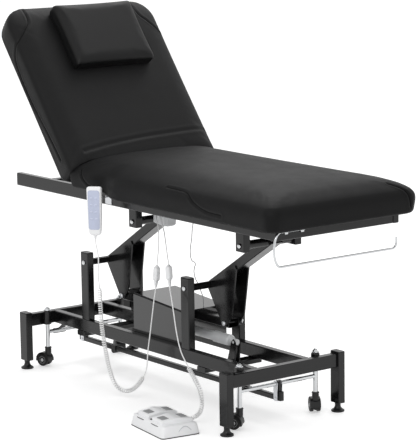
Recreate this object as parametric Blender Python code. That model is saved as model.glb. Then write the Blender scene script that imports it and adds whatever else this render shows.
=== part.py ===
"""Height-adjustable massage table: welded base, parallelogram lift, tilting backrest, castors.

Metres, +Z up. X runs from the head end (-X) to the foot end (+X), -Y is the near side.
The table frame's own zero is the middle of the base at floor level. The last step moves
everything so that the origin lies at the bottom centre of the finished table.
"""
import math

import bmesh
import bpy
from mathutils import Matrix, Vector

# Clearances and overruns
GAP = 0.0003
CUT_OVERRUN = 0.002
WELD_SINK = 0.001

# Steel tube stock
TUBE_DEEP = 0.050
TUBE_WIDE = 0.030
TUBE_WALL = 0.002
TUBE_CORNER = 0.0025
TUBE_CORNER_STEPS = 1
END_WALL = 0.003
DRAIN_RADIUS = 0.003

# Base
BASE_LENGTH = 1.360
BASE_WIDTH = 0.550
BASE_TOP = 0.222
LEG_RISE = 0.005
LEG_BOTTOM = 0.035
RAIL_OUTER_WIDTH = 0.268
TIE_DEPTH = 0.020
TIE_HEAD_X = -0.450
TIE_FOOT_X = 0.340

# Levelling feet
FOOT_PAD_RADIUS = 0.025
FOOT_PAD_HEIGHT = 0.007
FOOT_NECK_RADIUS = 0.011
FOOT_STEM_RADIUS = 0.005
FOOT_STEM_REACH = 0.028
FOOT_TRAVEL = 0.012

# Lift linkage: a parallelogram of two bell cranks and a link beam
PIVOT_SPACING = 0.660
PIVOT_HEAD_X = -0.416
PIVOT_HEIGHT = 0.452
UPRIGHT_TOP = 0.490
LIFT_OFFSET = 0.018
ARM_LENGTH = 0.395
ARM_ANGLE = math.radians(31.9)
ARM_WIDTH = 0.054
ARM_DEPTH = 0.036
ARM_WALL = 0.0025
ARM_TAIL = 0.012
ARM_NOSE = 0.020
CRANK_LENGTH = 0.159
GUSSET_THICKNESS = 0.005
GUSSET_REACH = 0.178
GUSSET_BACK = 0.018
GUSSET_FRONT = 0.052
GUSSET_FOOT = 0.012
LOWER_SHAFT_RADIUS = 0.0135
UPPER_SHAFT_RADIUS = 0.016
PIVOT_BOLT_RADIUS = 0.006
PIVOT_HOLE_CLEARANCE = 0.0003
BOLT_HEAD_RADIUS = 0.0085
BOLT_HEAD_HEIGHT = 0.006
LINK_WIDTH = 0.050
LINK_DEPTH = 0.034
LINK_END = 0.018
LINK_PIN_RADIUS = 0.006
BRACKET_DROP = 0.022

# Lift actuator
ACTUATOR_HEIGHT = 0.247
ACTUATOR_TUBE_RADIUS = 0.018
ACTUATOR_BORE_RADIUS = 0.0105
ACTUATOR_ROD_RADIUS = 0.010
ACTUATOR_TAIL_X = 0.356
ACTUATOR_TUBE_END_X = 0.020
ACTUATOR_LUG_X = -0.150
ACTUATOR_ROD_INSERT = 0.125
ACTUATOR_PIN_RADIUS = 0.005
ACTUATOR_EYE_RADIUS = 0.012
ACTUATOR_EAR_THICKNESS = 0.005
ACTUATOR_TONGUE = 0.016
MOTOR_RADIUS = 0.0215
MOTOR_LENGTH = 0.100
MOTOR_CHAMFER = 0.004
LUG_THICKNESS = 0.006
OPEN_PIVOT_CLEARANCE = 0.0088

# Mechanism cover
COVER_HEAD_X = -0.127
COVER_FOOT_X = 0.190
COVER_HEAD_TOP = 0.374
COVER_FOOT_TOP = 0.352
COVER_BOTTOM = 0.205
COVER_SHEET = 0.0015
COVER_CORNER = 0.006

# Top frame
TOP_WIDTH = 0.560
TOP_RAIL_WIDE = 0.025
TOP_FRAME_RISE = 0.088
TOP_HEAD_X = -0.658
TOP_FOOT_X = 0.963
CROSSBAR_X = -0.433
MID_MEMBER_X = 0.150
HINGE_MEMBER_SETBACK = 0.045

# Backrest
HINGE_X = -0.275
HINGE_RISE = 0.012
BACKREST_ANGLE = math.radians(52.0)
HINGE_LUG_Y = 0.205
HINGE_LUG_THICKNESS = 0.006
HINGE_LUG_RADIUS = 0.014
HINGE_TUBE_RADIUS = 0.0115
HINGE_PIN_RADIUS = 0.006
STRINGER_SIZE = 0.020
STRINGER_Y = 0.150
STRINGER_LENGTH = 0.560
STRUT_PLACE_SHARE = 0.67
EAR_LENGTH = 0.090
EAR_LEAN = math.radians(-12.0)
EAR_THICKNESS = 0.006
EAR_ROOT = 0.026
BACK_ACTUATOR_Y = -0.065
BACK_TAIL_X = 0.115
BACK_TAIL_DROP = 0.044
BACK_TUBE_RADIUS = 0.016
BACK_BORE_RADIUS = 0.0085
BACK_ROD_RADIUS = 0.008
BACK_TUBE_LENGTH = 0.265
BACK_ROD_INSERT = 0.045
BACK_PIN_RADIUS = 0.004
BACK_OPEN_CLEARANCE = 0.0065
FORK_CHEEK = 0.004
FORK_SIDE_GAP = 0.001
FORK_RIM = 0.0045
MOTOR_BOX_LENGTH = 0.088
MOTOR_BOX_WIDTH = 0.056
MOTOR_BOX_DROP = 0.052
MOTOR_BOX_RISE = 0.020
MOTOR_BOX_CORNER = 0.010
MOTOR_BOX_SETBACK = 0.034

# Cushions
PAD_SIDE_OVERHANG = 0.045
SEAT_HEAD_X = -0.212
SEAT_FOOT_OVERHANG = 0.032
SEAT_THICKNESS = 0.106
BACK_PAD_START = 0.020
BACK_PAD_LENGTH = 0.685
BACK_PAD_THICKNESS = 0.112
SEAT_CORNER = 0.076
BACK_PAD_HEAD_CORNER = 0.092
BACK_PAD_HINGE_CORNER = 0.060
PAD_CROWN = 0.012
PAD_EDGE = 0.050
PAD_BOTTOM_EDGE = 0.014
PAD_DRAW = 0.007
PAD_POINTS_PER_SIDE = 6
PILLOW_POINTS_PER_SIDE = 4
PAD_POINTS_PER_CORNER = 3
PAD_CORNER_INSET_SHARE = 0.6
PAD_CORNER_LEAST_SHARE = 0.25
PAD_RIM_TURN = math.radians(50.0)
PAD_SHOULDER_STEPS = 4
PAD_SHOULDER_STEP = math.radians(25.0)
PAD_CROWN_PLACE_SHARES = (0.12, 0.35, 0.65)
PAD_CROWN_BEND_SHARE = 0.8
PILLOW_LENGTH = 0.250
PILLOW_WIDTH = 0.360
PILLOW_THICKNESS = 0.062
PILLOW_CORNER = 0.030
PILLOW_EDGE = 0.018
PILLOW_CROWN = 0.008
PILLOW_DRAW = 0.004
PILLOW_ALONG = 0.545
PILLOW_SHIFT_Y = 0.020
PILLOW_SETTLE = 0.0008

# Roll holder at the foot end
ROLL_ROD_RADIUS = 0.004
ROLL_STANDOFF = 0.010
ROLL_START_Y = -0.160
ROLL_TURN_Y = -0.265
ROLL_FAR_Y = 0.262
ROLL_TOP_DROP = 0.018
ROLL_LOW_DROP = 0.138
ROLL_UPTURN = 0.040
ROLL_BEND = 0.020
ROLL_CLIP_Y = -0.245
ROLL_CLIP_WIDTH = 0.014
ROLL_CLIP_HEIGHT = 0.020
ROLL_SIDES = 8

# Castors and their lifting frame
STEM_RADIUS = 0.009
STEM_Y = 0.178
SLEEVE_RADIUS = 0.0165
SLEEVE_LENGTH = 0.050
SLEEVE_RISE = 0.004
SLEEVE_CAP = 0.009
CROSS_BAR_RADIUS = 0.008
CROSS_BAR_HEIGHT = 0.143
LINK_BAR_SIZE = 0.020
LINK_BAR_HEIGHT = 0.090
LINK_BRACKET_THICKNESS = 0.012
LINK_BRACKET_WIDTH = 0.026
LINK_BAR_OVERHANG = 0.030
WHEEL_RADIUS = 0.025
WHEEL_THICKNESS = 0.014
WHEEL_TYRE_ROUND = 0.003
WHEEL_AXLE_RADIUS = 0.004
WHEEL_TRAIL = 0.018
WHEEL_FLOOR_CLEARANCE = 0.003
CASTOR_WEB = 0.0125
CASTOR_HOOD_GAP = 0.0035
CASTOR_HOOD_SHEET = 0.0025
CASTOR_SOCKET_RADIUS = 0.0130
CASTOR_SOCKET_TOP = 0.082
CASTOR_SOCKET_FLOOR = 0.066
CASTOR_HEADINGS = {
    "near_head": math.radians(200.0), "far_head": math.radians(160.0),
    "near_foot": math.radians(215.0), "far_foot": math.radians(150.0),
}

# Castor pedal
PEDAL_Y = -0.030
PEDAL_PIVOT_X = -0.490
PEDAL_THICKNESS = 0.008
PEDAL_DEPTH = 0.012
PEDAL_LUG_THICKNESS = 0.004
PEDAL_HUB_RADIUS = 0.009
PEDAL_PIN_RADIUS = 0.004
PEDAL_TOE_X = -0.765
PEDAL_TOE_HEIGHT = 0.104
PEDAL_KNEE_X = -0.690
PEDAL_SLEEVE_RADIUS = 0.011
PEDAL_SLEEVE_LENGTH = 0.060

# Handset and its hook
HANDSET_X = -0.013
HANDSET_OFF_RAIL = 0.072
HANDSET_TURN = math.radians(40.0)
HANDSET_LENGTH = 0.183
HANDSET_TOP_BELOW_FRAME = -0.029
HANDSET_WIDTH = 0.058
HANDSET_TAIL_WIDTH = 0.046
HANDSET_THICKNESS = 0.024
HANDSET_TAIL_THICKNESS = 0.020
HANDSET_CORNER = 0.009
HANDSET_EXIT_RADIUS = 0.005
HANDSET_EXIT_LENGTH = 0.014
HANDSET_EXIT_TAPER_SHARE = 0.75
HANDSET_STATION_SHARES = ((0.0, 0.80), (0.015, 0.93), (0.04, 1.0), (0.55, 1.0), (0.80, 0.93),
                          (0.93, 0.86), (0.98, 0.70), (1.0, 0.45))
HANGER_REACH = 0.012
HANGER_WIDTH = 0.018
HANGER_HEIGHT = 0.014
HANGER_BELOW_TOP = 0.045
HOOK_PLATE_WIDTH = 0.040
HOOK_PLATE_THICKNESS = 0.002
HOOK_ARM_WIDTH = 0.010
HOOK_ARM_THICKNESS = 0.003
HOOK_PEG_RADIUS = 0.003
HOOK_PLATE_LIP = 0.004

# Foot control
PEDALBOX_X = 0.442
PEDALBOX_Y = -0.377
PEDALBOX_TURN = math.radians(-8.0)
PEDALBOX_WIDTH = 0.245
PEDALBOX_DEPTH = 0.156
PEDALBOX_HEIGHT = 0.034
PEDALBOX_TOP_INSET = 0.020
PEDALBOX_SIDE_INSET_SHARE = 0.25
PEDALBOX_STATION_SHARES = ((0.0, 0.0), (0.10, 0.0), (0.65, 0.55), (0.92, 0.90), (1.0, 1.0))
PEDALBOX_CORNER = 0.014
ROCKER_SPACING = 0.108
ROCKER_WIDTH = 0.080
ROCKER_DEPTH = 0.118
ROCKER_END_HEIGHT = 0.046
ROCKER_MID_HEIGHT = 0.050
ROCKER_RIDGE_SHARE = 0.2
ROCKER_UNDERSIDE = 0.026
ROCKER_SIDE_GAP = 0.0015
ROCKER_POCKET_FLOOR = 0.010
ROCKER_PIN_HEIGHT = 0.022
ROCKER_PIN_RADIUS = 0.003
ROCKER_PIN_REACH = 0.004
PEDALBOX_GLAND_RADIUS = 0.008
PEDALBOX_GLAND_LENGTH = 0.016
PEDALBOX_GLAND_TAPER_SHARE = 0.7
PEDALBOX_GLAND_HEIGHT = 0.018
PEDALBOX_GLAND_SHIFT = -0.020

# Cords
CORD_RADIUS = 0.00225
LEAD_RADIUS = 0.002
CABLE_RADIUS = 0.0018
CURL_RADIUS = 0.0065
HANDSET_CURLS = 20
PEDAL_CURLS = 8
POINTS_PER_CURL = 8
CONNECTOR_RADIUS = 0.0125
CONNECTOR_LOW_BOOT = 0.026
CONNECTOR_HIGH_BOOT = 0.006
CONNECTOR_ROUND = 0.004
CONNECTOR_BOOT_RADIUS = 0.0075
CONNECTOR_NECK_RADIUS = 0.0040
LEAST_CORD_GAP = 0.0004
CORD_STRAIGHT_SHARE = 4
CORD_STEP_SHARE = 6
LEAD_STEP_SHARE = 5

# Middle points of the routes in table coordinates, chosen by hand. The ends come from the faces
# that each cord meets. A plug is given by its lower and upper end.
HANDSET_ROUTE = [
    (0.004, -0.352, 0.560), (-0.006, -0.348, 0.500), (-0.008, -0.342, 0.440), (-0.018, -0.332, 0.350),
    (-0.030, -0.318, 0.270), (-0.046, -0.292, 0.170), (-0.052, -0.268, 0.090), (-0.043, -0.250, 0.044),
    (-0.014, -0.228, 0.026), (0.022, -0.213, 0.042), (0.058, -0.204, 0.080), (0.083, -0.198, 0.126),
    (0.089, -0.194, 0.197), (0.096, -0.188, 0.260), (0.100, -0.179, 0.333), (0.099, -0.168, 0.394),
]
HANDSET_CURL_SPAN_SHARE = (0.170, 0.640)
HANDSET_PLUG = ((0.0965, -0.158, 0.4373), (0.099, -0.152, 0.5212))
HANDSET_LEAD_ROUTE = [(0.091, -0.142, 0.552), (0.082, -0.130, 0.600), (0.069, -0.120, 0.645),
                      (0.052, -0.114, 0.677), (0.041, -0.110, 0.693)]
HANDSET_SOCKET = (-0.077, -0.011)
PEDAL_ROUTE = [
    (0.204, -0.166, 0.424), (0.238, -0.180, 0.364), (0.272, -0.193, 0.296), (0.315, -0.207, 0.239),
    (0.370, -0.219, 0.197), (0.422, -0.227, 0.160), (0.462, -0.232, 0.122), (0.480, -0.238, 0.080),
    (0.472, -0.242, 0.046), (0.449, -0.250, 0.024),
]
PEDAL_CURL_SPAN_SHARE = (0.560, 0.930)
PEDAL_PLUG = ((0.1856, -0.158, 0.4556), (0.1721, -0.152, 0.5352))
PEDAL_LEAD_ROUTE = [(0.152, -0.142, 0.566), (0.128, -0.131, 0.606), (0.104, -0.120, 0.645),
                    (0.082, -0.114, 0.677), (0.070, -0.110, 0.693)]
PEDAL_SOCKET = (-0.049, -0.009)
CABLE_ROUTE = [
    (0.138, 0, 0.706), (0.125, 0, 0.665), (0.119, 0, 0.637), (0.115, 0, 0.604), (0.108, 0, 0.578),
    (0.105, 0, 0.558), (0.107, 0, 0.536), (0.114, 0, 0.522), (0.1235, 0, 0.519), (0.1325, 0, 0.518),
    (0.1355, 0, 0.509), (0.129, 0, 0.494), (0.127, 0, 0.478), (0.135, 0, 0.456), (0.150, 0, 0.439),
    (0.168, 0, 0.413), (0.180, 0, 0.392),
]
CABLE_END_X = 0.184

ROUND_SIDES = 16
SMALL_SIDES = 12
PEG_SIDES = 8
SHARP_ANGLE = math.radians(32.0)

# Values worked out from the sizes above
LEG_X = (BASE_LENGTH - TUBE_DEEP) / 2
LEG_Y = (BASE_WIDTH - TUBE_WIDE) / 2
BEAM_INNER_X = LEG_X - TUBE_WIDE / 2
RAIL_Y = (RAIL_OUTER_WIDTH - TUBE_WIDE) / 2
UPRIGHT_INNER_Y = RAIL_OUTER_WIDTH / 2 - TUBE_WIDE
RAIL_BOTTOM = BASE_TOP - TUBE_DEEP
PIVOT_FOOT_X = PIVOT_HEAD_X + PIVOT_SPACING
TOP_PIVOT_X = PIVOT_HEAD_X + ARM_LENGTH * math.cos(ARM_ANGLE)
TOP_PIVOT_Z = PIVOT_HEIGHT + ARM_LENGTH * math.sin(ARM_ANGLE)
LINK_PIVOT_X = PIVOT_HEAD_X + CRANK_LENGTH * math.sin(ARM_ANGLE)
LINK_PIVOT_Z = PIVOT_HEIGHT - CRANK_LENGTH * math.cos(ARM_ANGLE)
TOP_BOTTOM = TOP_PIVOT_Z + TOP_FRAME_RISE
TOP_TOP = TOP_BOTTOM + TUBE_DEEP
TOP_RAIL_Y = (TOP_WIDTH - TOP_RAIL_WIDE) / 2
TOP_INNER_Y = TOP_WIDTH / 2 - TOP_RAIL_WIDE
PAD_WIDTH = TOP_WIDTH + PAD_SIDE_OVERHANG * 2
SEAT_FOOT_X = TOP_FOOT_X + SEAT_FOOT_OVERHANG
HINGE_Z = TOP_TOP + HINGE_RISE
STEM_X = BEAM_INNER_X - SLEEVE_RADIUS + WELD_SINK
BOARD_OFFSET = STRINGER_SIZE / 2 + GAP
BACK_TAIL_Z = TOP_BOTTOM - BACK_TAIL_DROP
GUSSET_OUTER_Y = ARM_WIDTH / 2 + GUSSET_THICKNESS

FINISHES = {
    "black_steel": ((0.020, 0.020, 0.021, 1.0), 0.42, 0.0),
    "chrome": ((0.78, 0.78, 0.79, 1.0), 0.12, 1.0),
    "black_leather": ((0.012, 0.012, 0.013, 1.0), 0.55, 0.0),
    "white_plastic": ((0.83, 0.84, 0.85, 1.0), 0.38, 0.0),
    "grey_plastic": ((0.62, 0.63, 0.64, 1.0), 0.45, 0.0),
    "grey_cover": ((0.07, 0.07, 0.072, 1.0), 0.35, 0.0),
    "black_plastic": ((0.022, 0.022, 0.023, 1.0), 0.40, 0.0),
    "rubber_grey": ((0.30, 0.31, 0.32, 1.0), 0.60, 0.0),
    "zinc": ((0.55, 0.56, 0.57, 1.0), 0.30, 1.0),
    "steel_rod": ((0.70, 0.70, 0.71, 1.0), 0.18, 1.0),
    "white_cord": ((0.86, 0.86, 0.86, 1.0), 0.42, 0.0),
    "grey_cord": ((0.50, 0.50, 0.50, 1.0), 0.45, 0.0),
}
CORD_NODES = {
    "handset_cord", "handset_connector", "handset_lead", "foot_control_cord", "foot_control_connector",
    "foot_control_lead", "actuator_cable",
}


def clear_scene():
    for item in list(bpy.data.objects):
        bpy.data.objects.remove(item, do_unlink=True)


def finish_material(finish):
    known = bpy.data.materials.get(finish)
    if known:
        return known
    colour, roughness, metallic = FINISHES[finish]
    made = bpy.data.materials.new(finish)
    made.use_nodes = True
    shader = made.node_tree.nodes["Principled BSDF"]
    shader.inputs["Base Color"].default_value = colour
    shader.inputs["Roughness"].default_value = roughness
    shader.inputs["Metallic"].default_value = metallic
    return made


# Mesh helpers

def add_loops(bm, loops, cap=True, ring=False):
    """Skin a row of equal loops with quads; cap both ends, or join the last loop to the first."""
    rows = [[bm.verts.new(point) for point in loop] for loop in loops]
    count = len(rows[0])
    pairs = list(zip(rows, rows[1:]))
    if ring:
        pairs.append((rows[-1], rows[0]))
    for low, high in pairs:
        for i in range(count):
            j = (i + 1) % count
            bm.faces.new((low[i], low[j], high[j], high[i]))
    if cap and not ring:
        bm.faces.new(list(reversed(rows[0])))
        bm.faces.new(rows[-1])
    return rows


def axis_point(axis, a, b, t):
    """Place section coordinates (a, b) at distance t along the axis X, Y or Z."""
    return ((t, a, b), (b, t, a), (a, b, t))[axis]


def rounded_rectangle(half_a, half_b, radius, steps=TUBE_CORNER_STEPS):
    radius = min(radius, half_a, half_b)
    points = []
    for sign_a, sign_b, first in ((1, 1, 0), (-1, 1, 90), (-1, -1, 180), (1, -1, 270)):
        for k in range(steps + 1):
            turn = math.radians(first + 90 * k / steps)
            a = sign_a * (half_a - radius) + radius * math.cos(turn)
            b = sign_b * (half_b - radius) + radius * math.sin(turn)
            points.append((a, b))
    return points


def circle(radius, sides):
    return [(radius * math.cos(math.tau * k / sides), radius * math.sin(math.tau * k / sides))
            for k in range(sides)]


def section_loop(axis, outline, centre, t):
    return [axis_point(axis, centre[0] + a, centre[1] + b, t) for a, b in outline]


def tube_body(axis, size, centre, start, end, wall=TUBE_WALL, closed_start=False, closed_end=False):
    """A rectangular tube along an axis; closed ends get an end wall."""
    bm = bmesh.new()
    outer = rounded_rectangle(size[0] / 2, size[1] / 2, TUBE_CORNER)
    inner = rounded_rectangle(size[0] / 2 - wall, size[1] / 2 - wall, max(TUBE_CORNER - wall, wall / 2))
    inner_start = start + END_WALL if closed_start else start
    inner_end = end - END_WALL if closed_end else end
    outside = [section_loop(axis, outer, centre, start), section_loop(axis, outer, centre, end)]
    inside = [section_loop(axis, inner, centre, inner_end), section_loop(axis, inner, centre, inner_start)]
    if not closed_start and not closed_end:
        add_loops(bm, outside + inside, ring=True)
    elif closed_start and closed_end:
        add_loops(bm, outside)
        add_loops(bm, inside)
        flip_shell(bm, inside)
    else:
        loops = outside + inside
        if closed_end:
            loops = [inside[0], inside[1], outside[0], outside[1]]
        else:
            loops = [outside[0], outside[1], inside[0], inside[1]]
        add_loops(bm, loops)
    return bm


def flip_shell(bm, loops):
    """Turn the faces of an inner shell, the last one added, towards its hollow."""
    count = len(loops[0])
    bm.faces.ensure_lookup_table()
    inner_faces = bm.faces[-(count + 2):]
    bmesh.ops.reverse_faces(bm, faces=inner_faces)


def bar_body(axis, size, centre, start, end, corner=TUBE_CORNER):
    bm = bmesh.new()
    outline = rounded_rectangle(size[0] / 2, size[1] / 2, corner)
    add_loops(bm, [section_loop(axis, outline, centre, start), section_loop(axis, outline, centre, end)])
    return bm


def rod_body(axis, radius, centre, start, end, sides=SMALL_SIDES):
    bm = bmesh.new()
    outline = circle(radius, sides)
    add_loops(bm, [section_loop(axis, outline, centre, start), section_loop(axis, outline, centre, end)])
    return bm


def turned_body(axis, profile, centre, sides=SMALL_SIDES):
    """Revolve (radius, distance) pairs about an axis; no radius is zero."""
    bm = bmesh.new()
    loops = [section_loop(axis, circle(radius, sides), centre, t) for radius, t in profile]
    add_loops(bm, loops)
    return bm


def plate_body(axis, outline, start, end):
    """Extrude an outline of section points along an axis."""
    bm = bmesh.new()
    centre = (0, 0)
    add_loops(bm, [section_loop(axis, outline, centre, start), section_loop(axis, outline, centre, end)])
    return bm


def dome_profile(radius, height, base, direction, steps=2):
    """Rising arc of a domed head, as (radius, distance) pairs."""
    pairs = []
    for k in range(steps):
        turn = math.radians(90 * k / steps)
        pairs.append((radius * math.cos(turn), base + direction * height * math.sin(turn)))
    return pairs


def make_object(name, bm, finish, frame=None, origin=None, orient=True):
    """Turn a bmesh into a named node. With origin, the mesh is given in table coordinates."""
    if orient:
        bmesh.ops.recalc_face_normals(bm, faces=bm.faces)
    if origin is not None:
        bmesh.ops.translate(bm, verts=bm.verts, vec=-Vector(origin))
        frame = Matrix.Translation(origin)
    mesh = bpy.data.meshes.new(name)
    bm.to_mesh(mesh)
    bm.free()
    node = bpy.data.objects.new(name, mesh)
    bpy.context.scene.collection.objects.link(node)
    node.parent = TABLE
    node.matrix_local = frame if frame is not None else Matrix()
    mesh.materials.append(finish_material(finish))
    mesh.shade_smooth()
    mesh.set_sharp_from_angle(angle=SHARP_ANGLE)
    return node


def apply_boolean(node, bm, operation, orient=True):
    """Join or cut a node with a hidden guide that shares its frame."""
    if orient:
        bmesh.ops.recalc_face_normals(bm, faces=bm.faces)
    kind = "weld" if operation == "UNION" else "cutter"
    mesh = bpy.data.meshes.new(node.name + "_" + kind)
    origin = node.get("table_origin")
    if origin is not None:
        bmesh.ops.translate(bm, verts=bm.verts, vec=-Vector(origin))
    bm.to_mesh(mesh)
    bm.free()
    guide = bpy.data.objects.new(mesh.name, mesh)
    bpy.context.scene.collection.objects.link(guide)
    guide.parent = node
    guide.hide_render = True
    guide.display_type = "WIRE"
    step = node.modifiers.new(kind, "BOOLEAN")
    step.operation = operation
    step.object = guide
    step.solver = "EXACT"


def weld(node, *bodies):
    for bm in bodies:
        apply_boolean(node, bm, "UNION")


def cut(node, *bodies):
    for bm in bodies:
        apply_boolean(node, bm, "DIFFERENCE")


def table_node(name, bm, finish, origin, orient=True):
    """A node whose mesh and guides are given in table coordinates, with its origin on a joint."""
    node = make_object(name, bm, finish, origin=origin, orient=orient)
    node["table_origin"] = tuple(origin)
    return node


# Base

def base_end(end, side):
    """Two legs, the cross beam between them and the castor sleeves, welded together."""
    x = side * LEG_X
    beam_z = BASE_TOP - TUBE_DEEP / 2
    beam_reach = LEG_Y - TUBE_WIDE / 2 + WELD_SINK
    frame = table_node("base_end_" + end, bar_body(1, (TUBE_DEEP, TUBE_WIDE), (beam_z, x), -beam_reach,
                                                   beam_reach), "black_steel", (x, 0, BASE_TOP))
    for y in (-LEG_Y, LEG_Y):
        weld(frame, bar_body(2, (TUBE_DEEP, TUBE_WIDE), (x, y), LEG_BOTTOM, BASE_TOP + LEG_RISE))
        cut(frame, rod_body(2, FOOT_STEM_RADIUS + GAP, (x, y), LEG_BOTTOM - CUT_OVERRUN,
                            LEG_BOTTOM + FOOT_STEM_REACH + FOOT_TRAVEL))
    stem_x = side * STEM_X
    sleeve_top = BASE_TOP + SLEEVE_RISE
    for y in (-STEM_Y, STEM_Y):
        profile = [(SLEEVE_RADIUS, sleeve_top - SLEEVE_LENGTH)]
        profile += dome_profile(SLEEVE_RADIUS, SLEEVE_CAP, sleeve_top, 1)
        weld(frame, turned_body(2, profile, (stem_x, y)))
        cut(frame, rod_body(2, STEM_RADIUS + GAP, (stem_x, y), sleeve_top - SLEEVE_LENGTH - CUT_OVERRUN,
                            sleeve_top - END_WALL, ROUND_SIDES))


def levelling_foot(name, x, y):
    rise = (LEG_BOTTOM - GAP - FOOT_PAD_HEIGHT) / 2
    profile = [
        (FOOT_PAD_RADIUS, 0), (FOOT_PAD_RADIUS, FOOT_PAD_HEIGHT),
        (FOOT_NECK_RADIUS, FOOT_PAD_HEIGHT + rise), (FOOT_NECK_RADIUS, LEG_BOTTOM - GAP),
        (FOOT_STEM_RADIUS, LEG_BOTTOM - GAP), (FOOT_STEM_RADIUS, LEG_BOTTOM + FOOT_STEM_REACH),
    ]
    table_node(name, turned_body(2, profile, (x, y)), "black_plastic", (x, y, 0))


def base_rail(name, y):
    reach = BEAM_INNER_X - GAP
    table_node(name, tube_body(0, (TUBE_WIDE, TUBE_DEEP), (y, BASE_TOP - TUBE_DEEP / 2), -reach, reach),
               "black_steel", (0, y, BASE_TOP))


def upright(name, x, y):
    node = table_node(name, tube_body(2, (TUBE_DEEP, TUBE_WIDE), (x, y), BASE_TOP + GAP, UPRIGHT_TOP,
                                      closed_end=True), "black_steel", (x, y, BASE_TOP))
    reach = TUBE_WIDE / 2 + CUT_OVERRUN
    cut(node, rod_body(1, PIVOT_BOLT_RADIUS + PIVOT_HOLE_CLEARANCE, (PIVOT_HEIGHT, x), y - reach,
                       y + reach))


def tie_body(x):
    top = RAIL_BOTTOM - GAP
    return bar_body(1, (TIE_DEPTH, TUBE_DEEP), (top - TIE_DEPTH / 2, x), -RAIL_OUTER_WIDTH / 2,
                    RAIL_OUTER_WIDTH / 2)


def base_tie_head():
    """Tie under the rails with the two lugs of the castor pedal."""
    node = table_node("base_tie_head", tie_body(TIE_HEAD_X), "black_steel", (TIE_HEAD_X, 0, RAIL_BOTTOM))
    face_x = TIE_HEAD_X - TUBE_DEEP / 2
    pivot_z = pedal_pivot_height()
    lug_low = RAIL_BOTTOM - GAP - TIE_DEPTH
    outline = [
        (lug_low + WELD_SINK, face_x + WELD_SINK), (RAIL_BOTTOM - GAP - WELD_SINK, face_x + WELD_SINK),
        (pivot_z + PEDAL_HUB_RADIUS, PEDAL_PIVOT_X), (pivot_z, PEDAL_PIVOT_X - PEDAL_HUB_RADIUS),
        (lug_low + WELD_SINK, PEDAL_PIVOT_X - PEDAL_HUB_RADIUS / 2),
    ]
    for side in (-1, 1):
        inner = PEDAL_Y + side * (PEDAL_THICKNESS / 2 + GAP)
        outer = inner + side * PEDAL_LUG_THICKNESS
        weld(node, plate_body(1, outline, min(inner, outer), max(inner, outer)))
    reach = PEDAL_THICKNESS / 2 + PEDAL_LUG_THICKNESS + CUT_OVERRUN
    cut(node, rod_body(1, PEDAL_PIN_RADIUS + GAP, (pivot_z, PEDAL_PIVOT_X), PEDAL_Y - reach,
                       PEDAL_Y + reach))


def base_tie_foot():
    """Tie under the rails with the two tall ears that hold the lift actuator's tail."""
    node = table_node("base_tie_foot", tie_body(TIE_FOOT_X), "black_steel", (TIE_FOOT_X, 0, RAIL_BOTTOM))
    low = RAIL_BOTTOM - GAP - TIE_DEPTH / 2
    half = TUBE_DEEP / 2 - WELD_SINK
    eye = ACTUATOR_EYE_RADIUS
    outline = [(low, TIE_FOOT_X + half), (low, TIE_FOOT_X - half), (ACTUATOR_HEIGHT, ACTUATOR_TAIL_X - eye),
               (ACTUATOR_HEIGHT + eye, ACTUATOR_TAIL_X), (ACTUATOR_HEIGHT, ACTUATOR_TAIL_X + eye)]
    for side in (-1, 1):
        inner = LIFT_OFFSET + side * (ACTUATOR_TONGUE / 2 + GAP)
        outer = inner + side * ACTUATOR_EAR_THICKNESS
        weld(node, plate_body(1, outline, min(inner, outer), max(inner, outer)))
    reach = ACTUATOR_TONGUE / 2 + ACTUATOR_EAR_THICKNESS + CUT_OVERRUN
    cut(node, rod_body(1, ACTUATOR_PIN_RADIUS + GAP, (ACTUATOR_HEIGHT, ACTUATOR_TAIL_X),
                       LIFT_OFFSET - reach, LIFT_OFFSET + reach))


# Lift linkage

def tilt_frame(x, y, z, angle):
    """Local +X points along the tilted piece, local +Z square to it."""
    return Matrix.Translation((x, y, z)) @ Matrix.Rotation(-angle, 4, "Y")


def headed_shaft(radius, bolt_radius, inner_low, inner_high, outer_low, outer_high, at=(0, 0)):
    """A cross shaft between two supports, with thinner bolts through them and domed heads."""
    head = BOLT_HEAD_RADIUS
    profile = list(reversed(dome_profile(head, BOLT_HEAD_HEIGHT, outer_low, -1)))
    profile += [(bolt_radius, outer_low), (bolt_radius, inner_low), (radius, inner_low),
                (radius, inner_high), (bolt_radius, inner_high), (bolt_radius, outer_high)]
    profile += dome_profile(head, BOLT_HEAD_HEIGHT, outer_high, 1)
    return turned_body(1, profile, at)


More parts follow.
